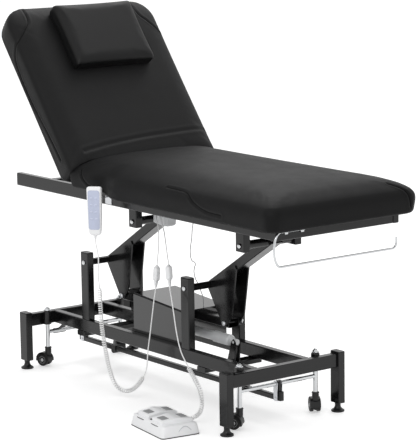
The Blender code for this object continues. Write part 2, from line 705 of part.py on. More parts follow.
def lift_arm(end, pivot_x):
    """Bell crank: rectangular arm, two gusset plates, and the shafts that it turns on."""
    node = make_object("lift_arm_" + end, tube_body(0, (ARM_WIDTH, ARM_DEPTH), (0, 0), -ARM_TAIL,
                                                    ARM_LENGTH + ARM_NOSE, wall=ARM_WALL),
                       "black_steel", frame=tilt_frame(pivot_x, LIFT_OFFSET, PIVOT_HEIGHT, ARM_ANGLE))
    inner = UPRIGHT_INNER_Y - GAP
    outer = RAIL_OUTER_WIDTH / 2 + GAP
    for radius, x in ((LOWER_SHAFT_RADIUS, 0), (UPPER_SHAFT_RADIUS, ARM_LENGTH)):
        weld(node, headed_shaft(radius, PIVOT_BOLT_RADIUS, -inner - LIFT_OFFSET, inner - LIFT_OFFSET,
                                -outer - LIFT_OFFSET, outer - LIFT_OFFSET, (0, x)))
    weld_line = ARM_DEPTH / 2 - TUBE_CORNER
    foot = CRANK_LENGTH + GUSSET_FOOT
    outline = [
        (weld_line, -GUSSET_BACK), (-weld_line / 2, -GUSSET_BACK - WELD_SINK),
        (-foot, -GUSSET_FOOT - WELD_SINK), (-foot - WELD_SINK, LINK_PIN_RADIUS),
        (-CRANK_LENGTH, GUSSET_FRONT), (-weld_line, GUSSET_REACH), (0, GUSSET_REACH),
    ]
    for side in (-1, 1):
        plate_inner = side * (ARM_WIDTH / 2 - WELD_SINK)
        plate_outer = side * GUSSET_OUTER_Y
        weld(node, plate_body(1, outline, min(plate_inner, plate_outer), max(plate_inner, plate_outer)))
    reach = GUSSET_OUTER_Y + CUT_OVERRUN
    cut(node, rod_body(1, LINK_PIN_RADIUS + PIVOT_HOLE_CLEARANCE, (-CRANK_LENGTH, 0), -reach, reach))


def link_beam():
    """Rectangular beam between the crank feet, with a cross pin at each end."""
    origin = (LINK_PIVOT_X, LIFT_OFFSET, LINK_PIVOT_Z)
    node = table_node("lift_link_beam",
                      tube_body(0, (LINK_WIDTH, LINK_DEPTH), (LIFT_OFFSET, LINK_PIVOT_Z),
                                LINK_PIVOT_X - LINK_END, LINK_PIVOT_X + PIVOT_SPACING + LINK_END),
                      "black_steel", origin)
    outer = GUSSET_OUTER_Y + GAP
    for x in (LINK_PIVOT_X, LINK_PIVOT_X + PIVOT_SPACING):
        profile = list(reversed(dome_profile(BOLT_HEAD_RADIUS, BOLT_HEAD_HEIGHT, LIFT_OFFSET - outer, -1)))
        profile += [(LINK_PIN_RADIUS, LIFT_OFFSET - outer), (LINK_PIN_RADIUS, LIFT_OFFSET + outer)]
        profile += dome_profile(BOLT_HEAD_RADIUS, BOLT_HEAD_HEIGHT, LIFT_OFFSET + outer, 1)
        weld(node, turned_body(1, profile, (LINK_PIVOT_Z, x)))
    top = LINK_PIVOT_Z - LINK_DEPTH / 2 + WELD_SINK
    eye = ACTUATOR_EYE_RADIUS
    outline = [(top, ACTUATOR_LUG_X + 2 * eye), (top, ACTUATOR_LUG_X - 2 * eye),
               (ACTUATOR_HEIGHT, ACTUATOR_LUG_X - eye), (ACTUATOR_HEIGHT - eye, ACTUATOR_LUG_X),
               (ACTUATOR_HEIGHT, ACTUATOR_LUG_X + eye)]
    half = LUG_THICKNESS / 2
    weld(node, plate_body(1, outline, LIFT_OFFSET - half, LIFT_OFFSET + half))
    pin = half + FORK_SIDE_GAP + FORK_CHEEK
    weld(node, rod_body(1, ACTUATOR_PIN_RADIUS, (ACTUATOR_HEIGHT, ACTUATOR_LUG_X), LIFT_OFFSET - pin,
                        LIFT_OFFSET + pin))


def actuator(name, finish, tail, tube_length, tube_radius, pin_radius, tongue, angle):
    """Housing tube and a tail tongue on its pin. Local -X runs towards the rod."""
    frame = tilt_frame(tail[0], tail[1], tail[2], angle)
    eye = ACTUATOR_EYE_RADIUS
    node = make_object(name, rod_body(0, tube_radius, (0, 0), -tube_length, -eye * 2), finish, frame=frame)
    weld(node, bar_body(0, (tongue, 2 * eye - 2 * WELD_SINK), (0, 0), -eye * 3, eye, corner=eye / 2))
    pin_reach = tongue / 2 + ACTUATOR_EAR_THICKNESS + GAP
    weld(node, rod_body(1, pin_radius, (0, 0), -pin_reach, pin_reach))
    return node


def actuator_rod(name, tail, tube_length, reach, insert, radius, pin_radius, lug, clearance, angle):
    """Rod in the bore, with a fork whose wide eyes take the open pivot's pin."""
    frame = tilt_frame(tail[0], tail[1], tail[2], angle)
    eye = pin_radius + clearance + FORK_RIM
    root = -reach + eye
    node = make_object(name, rod_body(0, radius, (0, 0), root - WELD_SINK, -tube_length + insert),
                       "steel_rod", frame=frame)
    inner = lug / 2 + FORK_SIDE_GAP
    outer = inner + FORK_CHEEK
    block = bar_body(0, (2 * outer, 2 * radius), (0, 0), root - FORK_CHEEK, root + 3 * FORK_CHEEK,
                     corner=FORK_CHEEK / 2)
    weld(node, block)
    for side in (-1, 1):
        low, high = sorted((side * inner, side * outer))
        weld(node, rod_body(1, eye, (0, -reach), low, high))
    cut(node, rod_body(1, pin_radius + clearance, (0, -reach), -outer - CUT_OVERRUN, outer + CUT_OVERRUN))
    cut(node, rod_body(1, eye + FORK_CHEEK, (0, -reach), -inner, inner))
    return node


def lift_actuator():
    tail = (ACTUATOR_TAIL_X, LIFT_OFFSET, ACTUATOR_HEIGHT)
    tube_length = ACTUATOR_TAIL_X - ACTUATOR_TUBE_END_X
    reach = ACTUATOR_TAIL_X - ACTUATOR_LUG_X
    node = actuator("lift_actuator", "grey_plastic", tail, tube_length, ACTUATOR_TUBE_RADIUS,
                    ACTUATOR_PIN_RADIUS, ACTUATOR_TONGUE, 0.0)
    end = -ACTUATOR_EYE_RADIUS * 2 - MOTOR_CHAMFER
    start = end - MOTOR_LENGTH
    profile = [(MOTOR_RADIUS - MOTOR_CHAMFER, start), (MOTOR_RADIUS, start + MOTOR_CHAMFER),
               (MOTOR_RADIUS, end - MOTOR_CHAMFER), (MOTOR_RADIUS - MOTOR_CHAMFER, end)]
    weld(node, turned_body(0, profile, (0, 0)))
    cut(node, rod_body(0, ACTUATOR_BORE_RADIUS, (0, 0), -tube_length - CUT_OVERRUN, start))
    actuator_rod("lift_actuator_rod", tail, tube_length, reach, ACTUATOR_ROD_INSERT, ACTUATOR_ROD_RADIUS,
                 ACTUATOR_PIN_RADIUS, LUG_THICKNESS, OPEN_PIVOT_CLEARANCE, 0.0)


def cover_top(x):
    share = (x - COVER_HEAD_X) / (COVER_FOOT_X - COVER_HEAD_X)
    return COVER_HEAD_TOP + (COVER_FOOT_TOP - COVER_HEAD_TOP) * share


def mechanism_cover():
    """Bent sheet hood, open below and at both ends, lower towards the foot end."""
    half = UPRIGHT_INNER_Y - GAP
    bm = bmesh.new()
    loops = []
    for x, top in ((COVER_HEAD_X, COVER_HEAD_TOP), (COVER_FOOT_X, COVER_FOOT_TOP)):
        outer = []
        inner = []
        for k in range(TUBE_CORNER_STEPS + 1):
            turn = math.radians(90 * k / TUBE_CORNER_STEPS)
            a = half - COVER_CORNER + COVER_CORNER * math.cos(turn)
            z = top - COVER_CORNER + COVER_CORNER * math.sin(turn)
            outer.append((a, z))
            reach = COVER_CORNER - COVER_SHEET
            inner.append((half - COVER_CORNER + reach * math.cos(turn),
                          top - COVER_CORNER + reach * math.sin(turn)))
        outline = [(half, COVER_BOTTOM)] + outer + [(-a, z) for a, z in reversed(outer)]
        outline += [(-half, COVER_BOTTOM), (-half + COVER_SHEET, COVER_BOTTOM)]
        outline += [(-a, z) for a, z in inner] + list(reversed(inner))
        outline += [(half - COVER_SHEET, COVER_BOTTOM)]
        loops.append([(x, y, z) for y, z in outline])
    add_loops(bm, loops)
    table_node("mechanism_cover", bm, "grey_cover", (0, 0, COVER_BOTTOM))


# Top frame

def top_origin():
    return (TOP_PIVOT_X, 0, TOP_PIVOT_Z)


def top_rail(name, y):
    bm = tube_body(0, (TOP_RAIL_WIDE, TUBE_DEEP), (y, TOP_BOTTOM + TUBE_DEEP / 2), TOP_HEAD_X, TOP_FOOT_X,
                   closed_start=True, closed_end=True)
    node = table_node(name, bm, "black_steel", top_origin(), orient=False)
    for x in (TOP_HEAD_X, TOP_FOOT_X):
        inward = math.copysign(TUBE_DEEP, -x)
        cut(node, rod_body(2, DRAIN_RADIUS, (x + inward, y), TOP_BOTTOM - CUT_OVERRUN,
                           TOP_BOTTOM + TUBE_WALL + CUT_OVERRUN, PEG_SIDES))


def cross_tube(name, x):
    reach = TOP_INNER_Y - GAP
    return table_node(name, tube_body(1, (TUBE_DEEP, TUBE_WIDE), (TOP_BOTTOM + TUBE_DEEP / 2, x), -reach,
                                      reach), "black_steel", top_origin())


def pivot_member(end, x):
    """Cross member with two hanging brackets that take the arm's upper shaft."""
    node = cross_tube("top_crossmember_" + end, x)
    for y in (-RAIL_Y, RAIL_Y):
        weld(node, bar_body(2, (TUBE_DEEP, TUBE_WIDE), (x, y), TOP_PIVOT_Z - BRACKET_DROP,
                            TOP_BOTTOM + WELD_SINK))
    reach = RAIL_OUTER_WIDTH / 2 + CUT_OVERRUN
    for low, high in ((-reach, -UPRIGHT_INNER_Y + CUT_OVERRUN), (UPRIGHT_INNER_Y - CUT_OVERRUN, reach)):
        cut(node, rod_body(1, PIVOT_BOLT_RADIUS + PIVOT_HOLE_CLEARANCE, (TOP_PIVOT_Z, x), low, high))


def hinge_member():
    """Cross member under the seat's head edge, with the lugs of the backrest hinge."""
    x = HINGE_X + HINGE_MEMBER_SETBACK
    node = cross_tube("top_crossmember_hinge", x)
    face = x - TUBE_WIDE / 2 + WELD_SINK
    outline = [(TOP_BOTTOM + TUBE_DEEP / 2, face), (TOP_TOP - TUBE_CORNER, face),
               (HINGE_Z + HINGE_LUG_RADIUS / 2, HINGE_X + HINGE_LUG_RADIUS),
               (HINGE_Z + HINGE_LUG_RADIUS, HINGE_X),
               (HINGE_Z, HINGE_X - HINGE_LUG_RADIUS), (HINGE_Z - HINGE_LUG_RADIUS, HINGE_X)]
    for side in (-1, 1):
        low, high = sorted((side * HINGE_LUG_Y, side * (HINGE_LUG_Y + HINGE_LUG_THICKNESS)))
        weld(node, plate_body(1, list(reversed(outline)), low, high))
        cut(node, rod_body(1, HINGE_PIN_RADIUS + PIVOT_HOLE_CLEARANCE, (HINGE_Z, HINGE_X),
                           low - CUT_OVERRUN, high + CUT_OVERRUN))


def middle_member():
    """Cross member above the backrest actuator's tail, with its two lugs."""
    node = cross_tube("top_crossmember_mid", MID_MEMBER_X)
    eye = ACTUATOR_EYE_RADIUS
    top = TOP_BOTTOM + WELD_SINK
    outline = [(top, MID_MEMBER_X + TUBE_WIDE / 2 - TUBE_CORNER),
               (top, MID_MEMBER_X - TUBE_WIDE / 2 + TUBE_CORNER),
               (BACK_TAIL_Z, BACK_TAIL_X - eye), (BACK_TAIL_Z - eye, BACK_TAIL_X),
               (BACK_TAIL_Z, BACK_TAIL_X + eye)]
    for side in (-1, 1):
        inner = BACK_ACTUATOR_Y + side * (ACTUATOR_TONGUE / 2 + GAP)
        outer = inner + side * ACTUATOR_EAR_THICKNESS
        weld(node, plate_body(1, outline, min(inner, outer), max(inner, outer)))
    reach = ACTUATOR_TONGUE / 2 + ACTUATOR_EAR_THICKNESS + CUT_OVERRUN
    cut(node, rod_body(1, BACK_PIN_RADIUS + GAP, (BACK_TAIL_Z, BACK_TAIL_X), BACK_ACTUATOR_Y - reach,
                       BACK_ACTUATOR_Y + reach))


def roll_route():
    """Bent rod: short top run, turn down at the near side, long low run, upturned far end."""
    x = TOP_FOOT_X + ROLL_STANDOFF
    top = TOP_TOP - ROLL_TOP_DROP
    low = TOP_TOP - ROLL_LOW_DROP
    middle = (top + low) / 2
    bend = (top - low) / 2
    points = [(x, ROLL_START_Y, top), (x, ROLL_TURN_Y, top)]
    steps = 8
    for k in range(1, steps):
        turn = math.pi * k / steps
        points.append((x, ROLL_TURN_Y - bend * math.sin(turn) / 2, middle + bend * math.cos(turn)))
    points.append((x, ROLL_TURN_Y, low))
    corner_y = ROLL_FAR_Y - ROLL_BEND
    for k in range(5):
        turn = math.radians(90 * k / 4)
        points.append((x, corner_y + ROLL_BEND * math.sin(turn), low + ROLL_BEND * (1 - math.cos(turn))))
    points.append((x, ROLL_FAR_Y, low + ROLL_UPTURN))
    return points


def roll_holder():
    """Bent chrome rod with two clips that seat on the foot beam."""
    bm = sweep(roll_route(), ROLL_ROD_RADIUS, ROLL_SIDES)
    node = table_node("paper_roll_bar", bm, "chrome", (TOP_FOOT_X, 0, TOP_TOP))
    for y in (ROLL_START_Y - ROLL_CLIP_WIDTH, ROLL_CLIP_Y):
        depth = ROLL_STANDOFF - GAP
        centre_z = TOP_TOP - ROLL_TOP_DROP
        weld(node, bar_body(1, (ROLL_CLIP_HEIGHT, depth), (centre_z, TOP_FOOT_X + GAP + depth / 2),
                            y, y + ROLL_CLIP_WIDTH, corner=ROLL_ROD_RADIUS / 2))


# Backrest

def backrest_frame_matrix():
    """Local +X runs up the backrest from the hinge, local +Z is its front normal."""
    turn = Matrix.Rotation(math.pi, 4, "Z") @ Matrix.Rotation(-BACKREST_ANGLE, 4, "Y")
    return Matrix.Translation((HINGE_X, 0, HINGE_Z)) @ turn


def backrest_frame():
    """Hinge tube, two stringers, a cross strut and the ear that the actuator pushes."""
    inner = HINGE_LUG_Y - GAP
    outer = HINGE_LUG_Y + HINGE_LUG_THICKNESS + GAP
    node = make_object("backrest_frame", headed_shaft(HINGE_TUBE_RADIUS, HINGE_PIN_RADIUS, -inner, inner,
                                                      -outer, outer), "black_steel",
                       frame=backrest_frame_matrix())
    for y in (-STRINGER_Y, STRINGER_Y):
        weld(node, bar_body(0, (STRINGER_SIZE, STRINGER_SIZE), (y, 0), 0, STRINGER_LENGTH))
    weld(node, bar_body(1, (STRINGER_SIZE - WELD_SINK, STRINGER_SIZE),
                        (0, STRINGER_LENGTH * STRUT_PLACE_SHARE), -STRINGER_Y, STRINGER_Y))
    tip = ear_tip()
    outline = ear_outline(tip)
    y = -BACK_ACTUATOR_Y
    weld(node, plate_body(1, outline, y - EAR_THICKNESS / 2, y + EAR_THICKNESS / 2))
    pin = EAR_THICKNESS / 2 + FORK_SIDE_GAP + FORK_CHEEK
    weld(node, rod_body(1, BACK_PIN_RADIUS, (tip[1], tip[0]), y - pin, y + pin))


def ear_tip():
    """The ear's pin in the backrest's frame, as (x, z)."""
    return EAR_LENGTH * math.sin(EAR_LEAN), -EAR_LENGTH * math.cos(EAR_LEAN)


def ear_outline(tip):
    """Tapered ear from the hinge tube to the pin, as (z, x) section points."""
    direction = Vector(tip).normalized()
    side = Vector((-direction.y, direction.x))
    root = EAR_ROOT / 2
    end = BACK_PIN_RADIUS * 2
    corners = [side * -root, Vector(tip) - side * end, Vector(tip) + direction * end,
               Vector(tip) + side * end, side * root]
    return [(point.y, point.x) for point in corners]


def ear_tip_world():
    """Where the ear's pin stands at rest, in table coordinates."""
    x, z = ear_tip()
    return backrest_frame_matrix() @ Vector((x, 0, z))


def backrest_actuator_pose():
    """Tail point, tilt and length from tail pin to ear pin at rest."""
    tip = ear_tip_world()
    tail = (BACK_TAIL_X, BACK_ACTUATOR_Y, BACK_TAIL_Z)
    run = Vector((tip.x - tail[0], tip.z - tail[2]))
    return tail, -math.atan2(run.y, -run.x), run.length


def backrest_actuator():
    """Tube with its grey motor box below, and the rod to the backrest's ear."""
    tail, angle, reach = backrest_actuator_pose()
    bore_depth = BACK_TUBE_LENGTH - 2 * MOTOR_BOX_SETBACK
    node = actuator("backrest_actuator", "grey_plastic", tail, BACK_TUBE_LENGTH, BACK_TUBE_RADIUS,
                    BACK_PIN_RADIUS, ACTUATOR_TONGUE, angle)
    end = -MOTOR_BOX_SETBACK
    start = end - MOTOR_BOX_LENGTH
    taper = MOTOR_BOX_CORNER / 2
    loops = []
    for z, inset in ((-MOTOR_BOX_DROP, taper), (-MOTOR_BOX_DROP + taper, 0), (MOTOR_BOX_RISE - taper, 0),
                     (MOTOR_BOX_RISE, taper)):
        outline = rounded_rectangle(MOTOR_BOX_LENGTH / 2 - inset, MOTOR_BOX_WIDTH / 2 - inset,
                                    MOTOR_BOX_CORNER)
        loops.append([((start + end) / 2 + a, b, z) for a, b in outline])
    bm = bmesh.new()
    add_loops(bm, loops)
    weld(node, bm)
    cut(node, rod_body(0, BACK_BORE_RADIUS, (0, 0), -BACK_TUBE_LENGTH - CUT_OVERRUN,
                       -BACK_TUBE_LENGTH + bore_depth))
    actuator_rod("backrest_actuator_rod", tail, BACK_TUBE_LENGTH, reach, BACK_ROD_INSERT, BACK_ROD_RADIUS,
                 BACK_PIN_RADIUS, EAR_THICKNESS, BACK_OPEN_CLEARANCE, angle)


def box_socket(place):
    """Point and outward direction on the near side of the motor box."""
    tail, angle, _ = backrest_actuator_pose()
    frame = tilt_frame(tail[0], tail[1], tail[2], angle)
    return frame @ Vector((place[0], -MOTOR_BOX_WIDTH / 2, place[1])), Vector((0, -1, 0))


# Cushions

def cushion_arc(half_x, half_y, corner, sign_x, sign_y, first):
    """Points round one corner of a cushion's outline."""
    corner = min(corner, half_x, half_y)
    centre = Vector((sign_x * (half_x - corner), sign_y * (half_y - corner)))
    arc = []
    for k in range(PAD_POINTS_PER_CORNER + 1):
        turn = math.radians(first + 90 * k / PAD_POINTS_PER_CORNER)
        arc.append(centre + corner * Vector((math.cos(turn), math.sin(turn))))
    return arc


def cushion_outline(half_x, half_y, corners, draw, per_side):
    """Rounded rectangle whose straight sides pull in; corners are the radii at +X and at -X."""
    signs = ((1, 1, 0), (-1, 1, 90), (-1, -1, 180), (1, -1, 270))
    arcs = [cushion_arc(half_x, half_y, corners[0] if sign_x > 0 else corners[1], sign_x, sign_y, first)
            for sign_x, sign_y, first in signs]
    points = []
    for index, arc in enumerate(arcs):
        points += arc
        target = arcs[(index + 1) % 4][0]
        turn = math.radians(signs[(index + 1) % 4][2])
        inward = -Vector((math.cos(turn), math.sin(turn)))
        for k in range(1, per_side):
            share = k / per_side
            pull = draw * (1 - (2 * share - 1) ** 2)
            points.append(arc[-1].lerp(target, share) + inward * pull)
    return points


def cushion_body(half_x, half_y, thickness, corners, edge, bottom_edge, crown, draw,
                 per_side=PAD_POINTS_PER_SIDE):
    """Flat underside, rounded lower rim, drawn-in wall, soft upper edge and crowned top."""
    bm = bmesh.new()
    loops = []

    def ring(inset, z, pull):
        radii = [max(corner - inset * PAD_CORNER_INSET_SHARE, corner * PAD_CORNER_LEAST_SHARE)
                 for corner in corners]
        outline = cushion_outline(half_x - inset, half_y - inset, radii, pull, per_side)
        loops.append([(p.x, p.y, z) for p in outline])

    ring(bottom_edge, 0, 0)
    rim_out, rim_up = math.sin(PAD_RIM_TURN), 1 - math.cos(PAD_RIM_TURN)
    ring(bottom_edge * (1 - rim_out), bottom_edge * rim_up, draw * rim_out / 2)
    shoulder = thickness - crown - edge
    ring(0, (bottom_edge + shoulder) / 2, draw)
    for step in range(PAD_SHOULDER_STEPS):
        turn = PAD_SHOULDER_STEP * step
        ring(edge * (1 - math.cos(turn)), shoulder + edge * math.sin(turn), draw * math.cos(turn))
    inner = min(half_x, half_y) - edge
    for share in PAD_CROWN_PLACE_SHARES:
        rise = crown * math.sin(math.pi / 2 * share ** PAD_CROWN_BEND_SHARE)
        ring(edge + inner * share, thickness - crown + rise, 0)
    last = loops[-1]
    rows = add_loops(bm, loops, cap=False)
    bm.faces.new(list(reversed(rows[0])))
    centre = bm.verts.new((0, 0, thickness))
    top = rows[-1]
    for i in range(len(last)):
        bm.faces.new((top[i], top[(i + 1) % len(last)], centre))
    return bm


def seat_pad():
    half = (SEAT_FOOT_X - SEAT_HEAD_X) / 2
    bm = cushion_body(half, PAD_WIDTH / 2, SEAT_THICKNESS, (SEAT_CORNER, SEAT_CORNER), PAD_EDGE,
                      PAD_BOTTOM_EDGE, PAD_CROWN, PAD_DRAW)
    frame = Matrix.Translation(((SEAT_FOOT_X + SEAT_HEAD_X) / 2, 0, TOP_TOP + GAP))
    make_object("seat_pad", bm, "black_leather", frame=frame)


def backrest_pad():
    bm = cushion_body(BACK_PAD_LENGTH / 2, PAD_WIDTH / 2, BACK_PAD_THICKNESS,
                      (BACK_PAD_HEAD_CORNER, BACK_PAD_HINGE_CORNER), PAD_EDGE, PAD_BOTTOM_EDGE, PAD_CROWN,
                      PAD_DRAW)
    centre = (BACK_PAD_START + BACK_PAD_LENGTH / 2, 0, BOARD_OFFSET)
    make_object("backrest_pad", bm, "black_leather",
                frame=backrest_frame_matrix() @ Matrix.Translation(centre))


def pillow():
    bm = cushion_body(PILLOW_LENGTH / 2, PILLOW_WIDTH / 2, PILLOW_THICKNESS,
                      (PILLOW_CORNER, PILLOW_CORNER), PILLOW_EDGE, PILLOW_EDGE, PILLOW_CROWN, PILLOW_DRAW,
                      PILLOW_POINTS_PER_SIDE)
    centre = (PILLOW_ALONG, -PILLOW_SHIFT_Y, BOARD_OFFSET + BACK_PAD_THICKNESS + GAP - PILLOW_SETTLE)
    make_object("pillow", bm, "black_leather", frame=backrest_frame_matrix() @ Matrix.Translation(centre))


# Castors

def castor_yoke(end, side):
    """Two stems joined by a cross bar, chromed."""
    x = side * STEM_X
    top = BASE_TOP + SLEEVE_RISE - END_WALL - GAP
    node = table_node("castor_yoke_" + end, rod_body(1, CROSS_BAR_RADIUS, (CROSS_BAR_HEIGHT, x), -STEM_Y,
                                                     STEM_Y), "chrome",
                      (x, 0, CROSS_BAR_HEIGHT))
    for y in (-STEM_Y, STEM_Y):
        weld(node, rod_body(2, STEM_RADIUS, (x, y), CASTOR_SOCKET_FLOOR + GAP, top, ROUND_SIDES))


def castor_link_bar():
    """Long black bar on the centre line, with a bracket round each cross bar."""
    reach = STEM_X + LINK_BAR_OVERHANG / 2
    size = LINK_BAR_SIZE
    node = table_node("castor_link_bar", bar_body(0, (size, size), (0, LINK_BAR_HEIGHT), -reach, reach),
                      "black_steel", (0, 0, LINK_BAR_HEIGHT))
    half = LINK_BRACKET_WIDTH / 2
    low = LINK_BAR_HEIGHT - size / 2 + WELD_SINK
    high = CROSS_BAR_HEIGHT
    arc = [(high + half * math.sin(math.radians(a)), half * math.cos(math.radians(a)))
           for a in (0, 45, 90, 135, 180)]
    for x in (-STEM_X, STEM_X):
        outline = [(z, x + dx) for z, dx in arc] + [(low, x - half), (low, x + half)]
        weld(node, plate_body(1, outline, -LINK_BRACKET_THICKNESS / 2, LINK_BRACKET_THICKNESS / 2))
        cut(node, rod_body(1, CROSS_BAR_RADIUS + GAP, (CROSS_BAR_HEIGHT, x), -LINK_BRACKET_THICKNESS,
                           LINK_BRACKET_THICKNESS))


def castor(name, x, y, heading):
    """Hooded swivel body on the stem and a twin wheel on its axle. Local +X trails the wheel."""
    frame = Matrix.Translation((x, y, 0)) @ Matrix.Rotation(heading, 4, "Z")
    axle_z = WHEEL_RADIUS + WHEEL_FLOOR_CLEARANCE
    hood_radius = WHEEL_RADIUS + CASTOR_HOOD_GAP
    shell = hood_radius + CASTOR_HOOD_SHEET
    half_width = CASTOR_WEB / 2 + WHEEL_THICKNESS
    foot = (axle_z - WHEEL_AXLE_RADIUS * 2, WHEEL_AXLE_RADIUS * 2)
    outline = [(foot[0], WHEEL_TRAIL + foot[1])]
    for degrees in (10, 40, 65, 90, 115, 140, 170):
        turn = math.radians(degrees)
        outline.append((axle_z + shell * math.sin(turn), WHEEL_TRAIL + shell * math.cos(turn)))
    outline.append((foot[0], WHEEL_TRAIL - foot[1]))
    node = make_object("castor_body_" + name, plate_body(1, outline, -half_width, half_width),
                       "black_plastic", frame=frame)
    web_half = CASTOR_WEB / 2 - GAP * 2
    socket_low = axle_z + WHEEL_RADIUS
    socket = [(CASTOR_SOCKET_RADIUS, socket_low), (CASTOR_SOCKET_RADIUS, CASTOR_SOCKET_TOP)]
    weld(node, turned_body(2, socket, (0, 0), ROUND_SIDES))
    for side in (-1, 1):
        low, high = sorted((side * web_half, side * (half_width + CUT_OVERRUN)))
        cut(node, rod_body(1, hood_radius, (axle_z, WHEEL_TRAIL), low, high, ROUND_SIDES))
    cut(node, rod_body(2, STEM_RADIUS + GAP, (0, 0), CASTOR_SOCKET_FLOOR, CASTOR_SOCKET_TOP + CUT_OVERRUN,
                       ROUND_SIDES))
    cut(node, rod_body(1, WHEEL_AXLE_RADIUS + GAP, (axle_z, WHEEL_TRAIL), -web_half - CUT_OVERRUN,
                       web_half + CUT_OVERRUN))
    face = CASTOR_WEB / 2
    rim = WHEEL_RADIUS - WHEEL_TYRE_ROUND
    profile = []
    for side in (-1, 1):
        half_profile = [(WHEEL_AXLE_RADIUS, face), (WHEEL_RADIUS, face),
                        (WHEEL_RADIUS, half_width - WHEEL_TYRE_ROUND), (rim, half_width)]
        half_profile = [(radius, side * t) for radius, t in half_profile]
        profile += list(reversed(half_profile)) if side < 0 else half_profile
    axle_frame = frame @ Matrix.Translation((WHEEL_TRAIL, 0, axle_z))
    make_object("castor_wheel_" + name, turned_body(1, profile, (0, 0), ROUND_SIDES), "black_plastic",
                frame=axle_frame)


def pedal_pivot_height():
    return CROSS_BAR_HEIGHT + CROSS_BAR_RADIUS + GAP + PEDAL_DEPTH / 2


def castor_pedal():
    """Flat lever over the head cross bar, with a round sleeve where the foot presses."""
    pivot_z = pedal_pivot_height()
    half = PEDAL_DEPTH / 2
    toe = PEDAL_TOE_HEIGHT
    hub = [(pivot_z + PEDAL_HUB_RADIUS * math.sin(math.radians(a)),
            PEDAL_PIVOT_X + PEDAL_HUB_RADIUS * math.cos(math.radians(a))) for a in (-60, -20, 20, 60)]
    outline = hub + [(pivot_z + half, PEDAL_PIVOT_X - PEDAL_HUB_RADIUS),
                     (pivot_z + half, PEDAL_KNEE_X - half),
                     (toe + half, PEDAL_TOE_X - half), (toe - half, PEDAL_TOE_X + half / 2),
                     (pivot_z - half, PEDAL_KNEE_X + half / 2),
                     (pivot_z - half, PEDAL_PIVOT_X - PEDAL_HUB_RADIUS)]
    low = PEDAL_Y - PEDAL_THICKNESS / 2
    high = PEDAL_Y + PEDAL_THICKNESS / 2
    node = table_node("castor_pedal", plate_body(1, outline, low, high), "black_steel",
                      (PEDAL_PIVOT_X, PEDAL_Y, pivot_z))
    sleeve = PEDAL_SLEEVE_LENGTH / 2
    round_off = PEDAL_SLEEVE_RADIUS / 4
    weld(node, turned_body(1, [(PEDAL_SLEEVE_RADIUS - round_off, PEDAL_Y - sleeve),
                               (PEDAL_SLEEVE_RADIUS, PEDAL_Y - sleeve + round_off),
                               (PEDAL_SLEEVE_RADIUS, PEDAL_Y + sleeve - round_off),
                               (PEDAL_SLEEVE_RADIUS - round_off, PEDAL_Y + sleeve)], (toe, PEDAL_TOE_X)))
    reach = PEDAL_THICKNESS / 2 + PEDAL_LUG_THICKNESS + GAP
    weld(node, rod_body(1, PEDAL_PIN_RADIUS, (pivot_z, PEDAL_PIVOT_X), PEDAL_Y - reach, PEDAL_Y + reach))


# Handset and foot control

def handset_matrix():
    place = (HANDSET_X, -TOP_WIDTH / 2 - HANDSET_OFF_RAIL, TOP_TOP - HANDSET_TOP_BELOW_FRAME)
    return Matrix.Translation(place) @ Matrix.Rotation(HANDSET_TURN, 4, "Z")


def handset():
    """Tapered hand controller, face towards local -Y, with a hanger behind and a cord exit below."""
    loops = []
    for along, swell in HANDSET_STATION_SHARES:
        width = HANDSET_WIDTH + (HANDSET_TAIL_WIDTH - HANDSET_WIDTH) * along
        thickness = HANDSET_THICKNESS + (HANDSET_TAIL_THICKNESS - HANDSET_THICKNESS) * along
        outline = rounded_rectangle(width / 2 * swell, thickness / 2 * swell, HANDSET_CORNER * swell)
        loops.append([(a, b, -HANDSET_LENGTH * along) for a, b in outline])
    bm = bmesh.new()
    add_loops(bm, loops)
    node = make_object("handset", bm, "white_plastic", frame=handset_matrix())
    low = -HANDSET_LENGTH - HANDSET_EXIT_LENGTH
    weld(node, turned_body(2, [(HANDSET_EXIT_RADIUS * HANDSET_EXIT_TAPER_SHARE, low),
                               (HANDSET_EXIT_RADIUS, -HANDSET_LENGTH + WELD_SINK)], (0, 0)))
    back = HANDSET_THICKNESS / 2
    weld(node, bar_body(2, (HANGER_WIDTH, HANGER_REACH + back), (0, (HANGER_REACH + back) / 2),
                        -HANGER_BELOW_TOP, -HANGER_BELOW_TOP + HANGER_HEIGHT))
    cut(node, rod_body(2, HOOK_PEG_RADIUS + GAP, (0, back + HANGER_REACH / 2),
                       -HANGER_BELOW_TOP - CUT_OVERRUN, -HANGER_BELOW_TOP + HANGER_HEIGHT + CUT_OVERRUN,
                       PEG_SIDES))


def handset_hook():
    """Plate on the near rail with an arm and an upright peg for the handset's hanger."""
    peg = handset_matrix() @ Vector((0, HANDSET_THICKNESS / 2 + HANGER_REACH / 2, -HANGER_BELOW_TOP))
    face = -TOP_WIDTH / 2 - GAP
    high = peg.z - GAP
    node = table_node("handset_hook", bar_body(2, (HOOK_PLATE_WIDTH, HOOK_PLATE_THICKNESS),
                                               (peg.x, face - HOOK_PLATE_THICKNESS / 2),
                                               TOP_BOTTOM + HOOK_PLATE_LIP, high,
                                               corner=HOOK_PLATE_THICKNESS / 4),
                      "zinc", (peg.x, face, high))
    weld(node, bar_body(1, (HOOK_ARM_THICKNESS, HOOK_ARM_WIDTH), (high - HOOK_ARM_THICKNESS / 2, peg.x),
                        peg.y - HOOK_PEG_RADIUS, face - HOOK_PLATE_THICKNESS / 2,
                        corner=HOOK_ARM_THICKNESS / 4))
    weld(node, rod_body(2, HOOK_PEG_RADIUS, (peg.x, peg.y), high - HOOK_ARM_THICKNESS / 2,
                        high + GAP + HANGER_HEIGHT, PEG_SIDES))


def pedalbox_matrix():
    return Matrix.Translation((PEDALBOX_X, PEDALBOX_Y, 0)) @ Matrix.Rotation(PEDALBOX_TURN, 4, "Z")


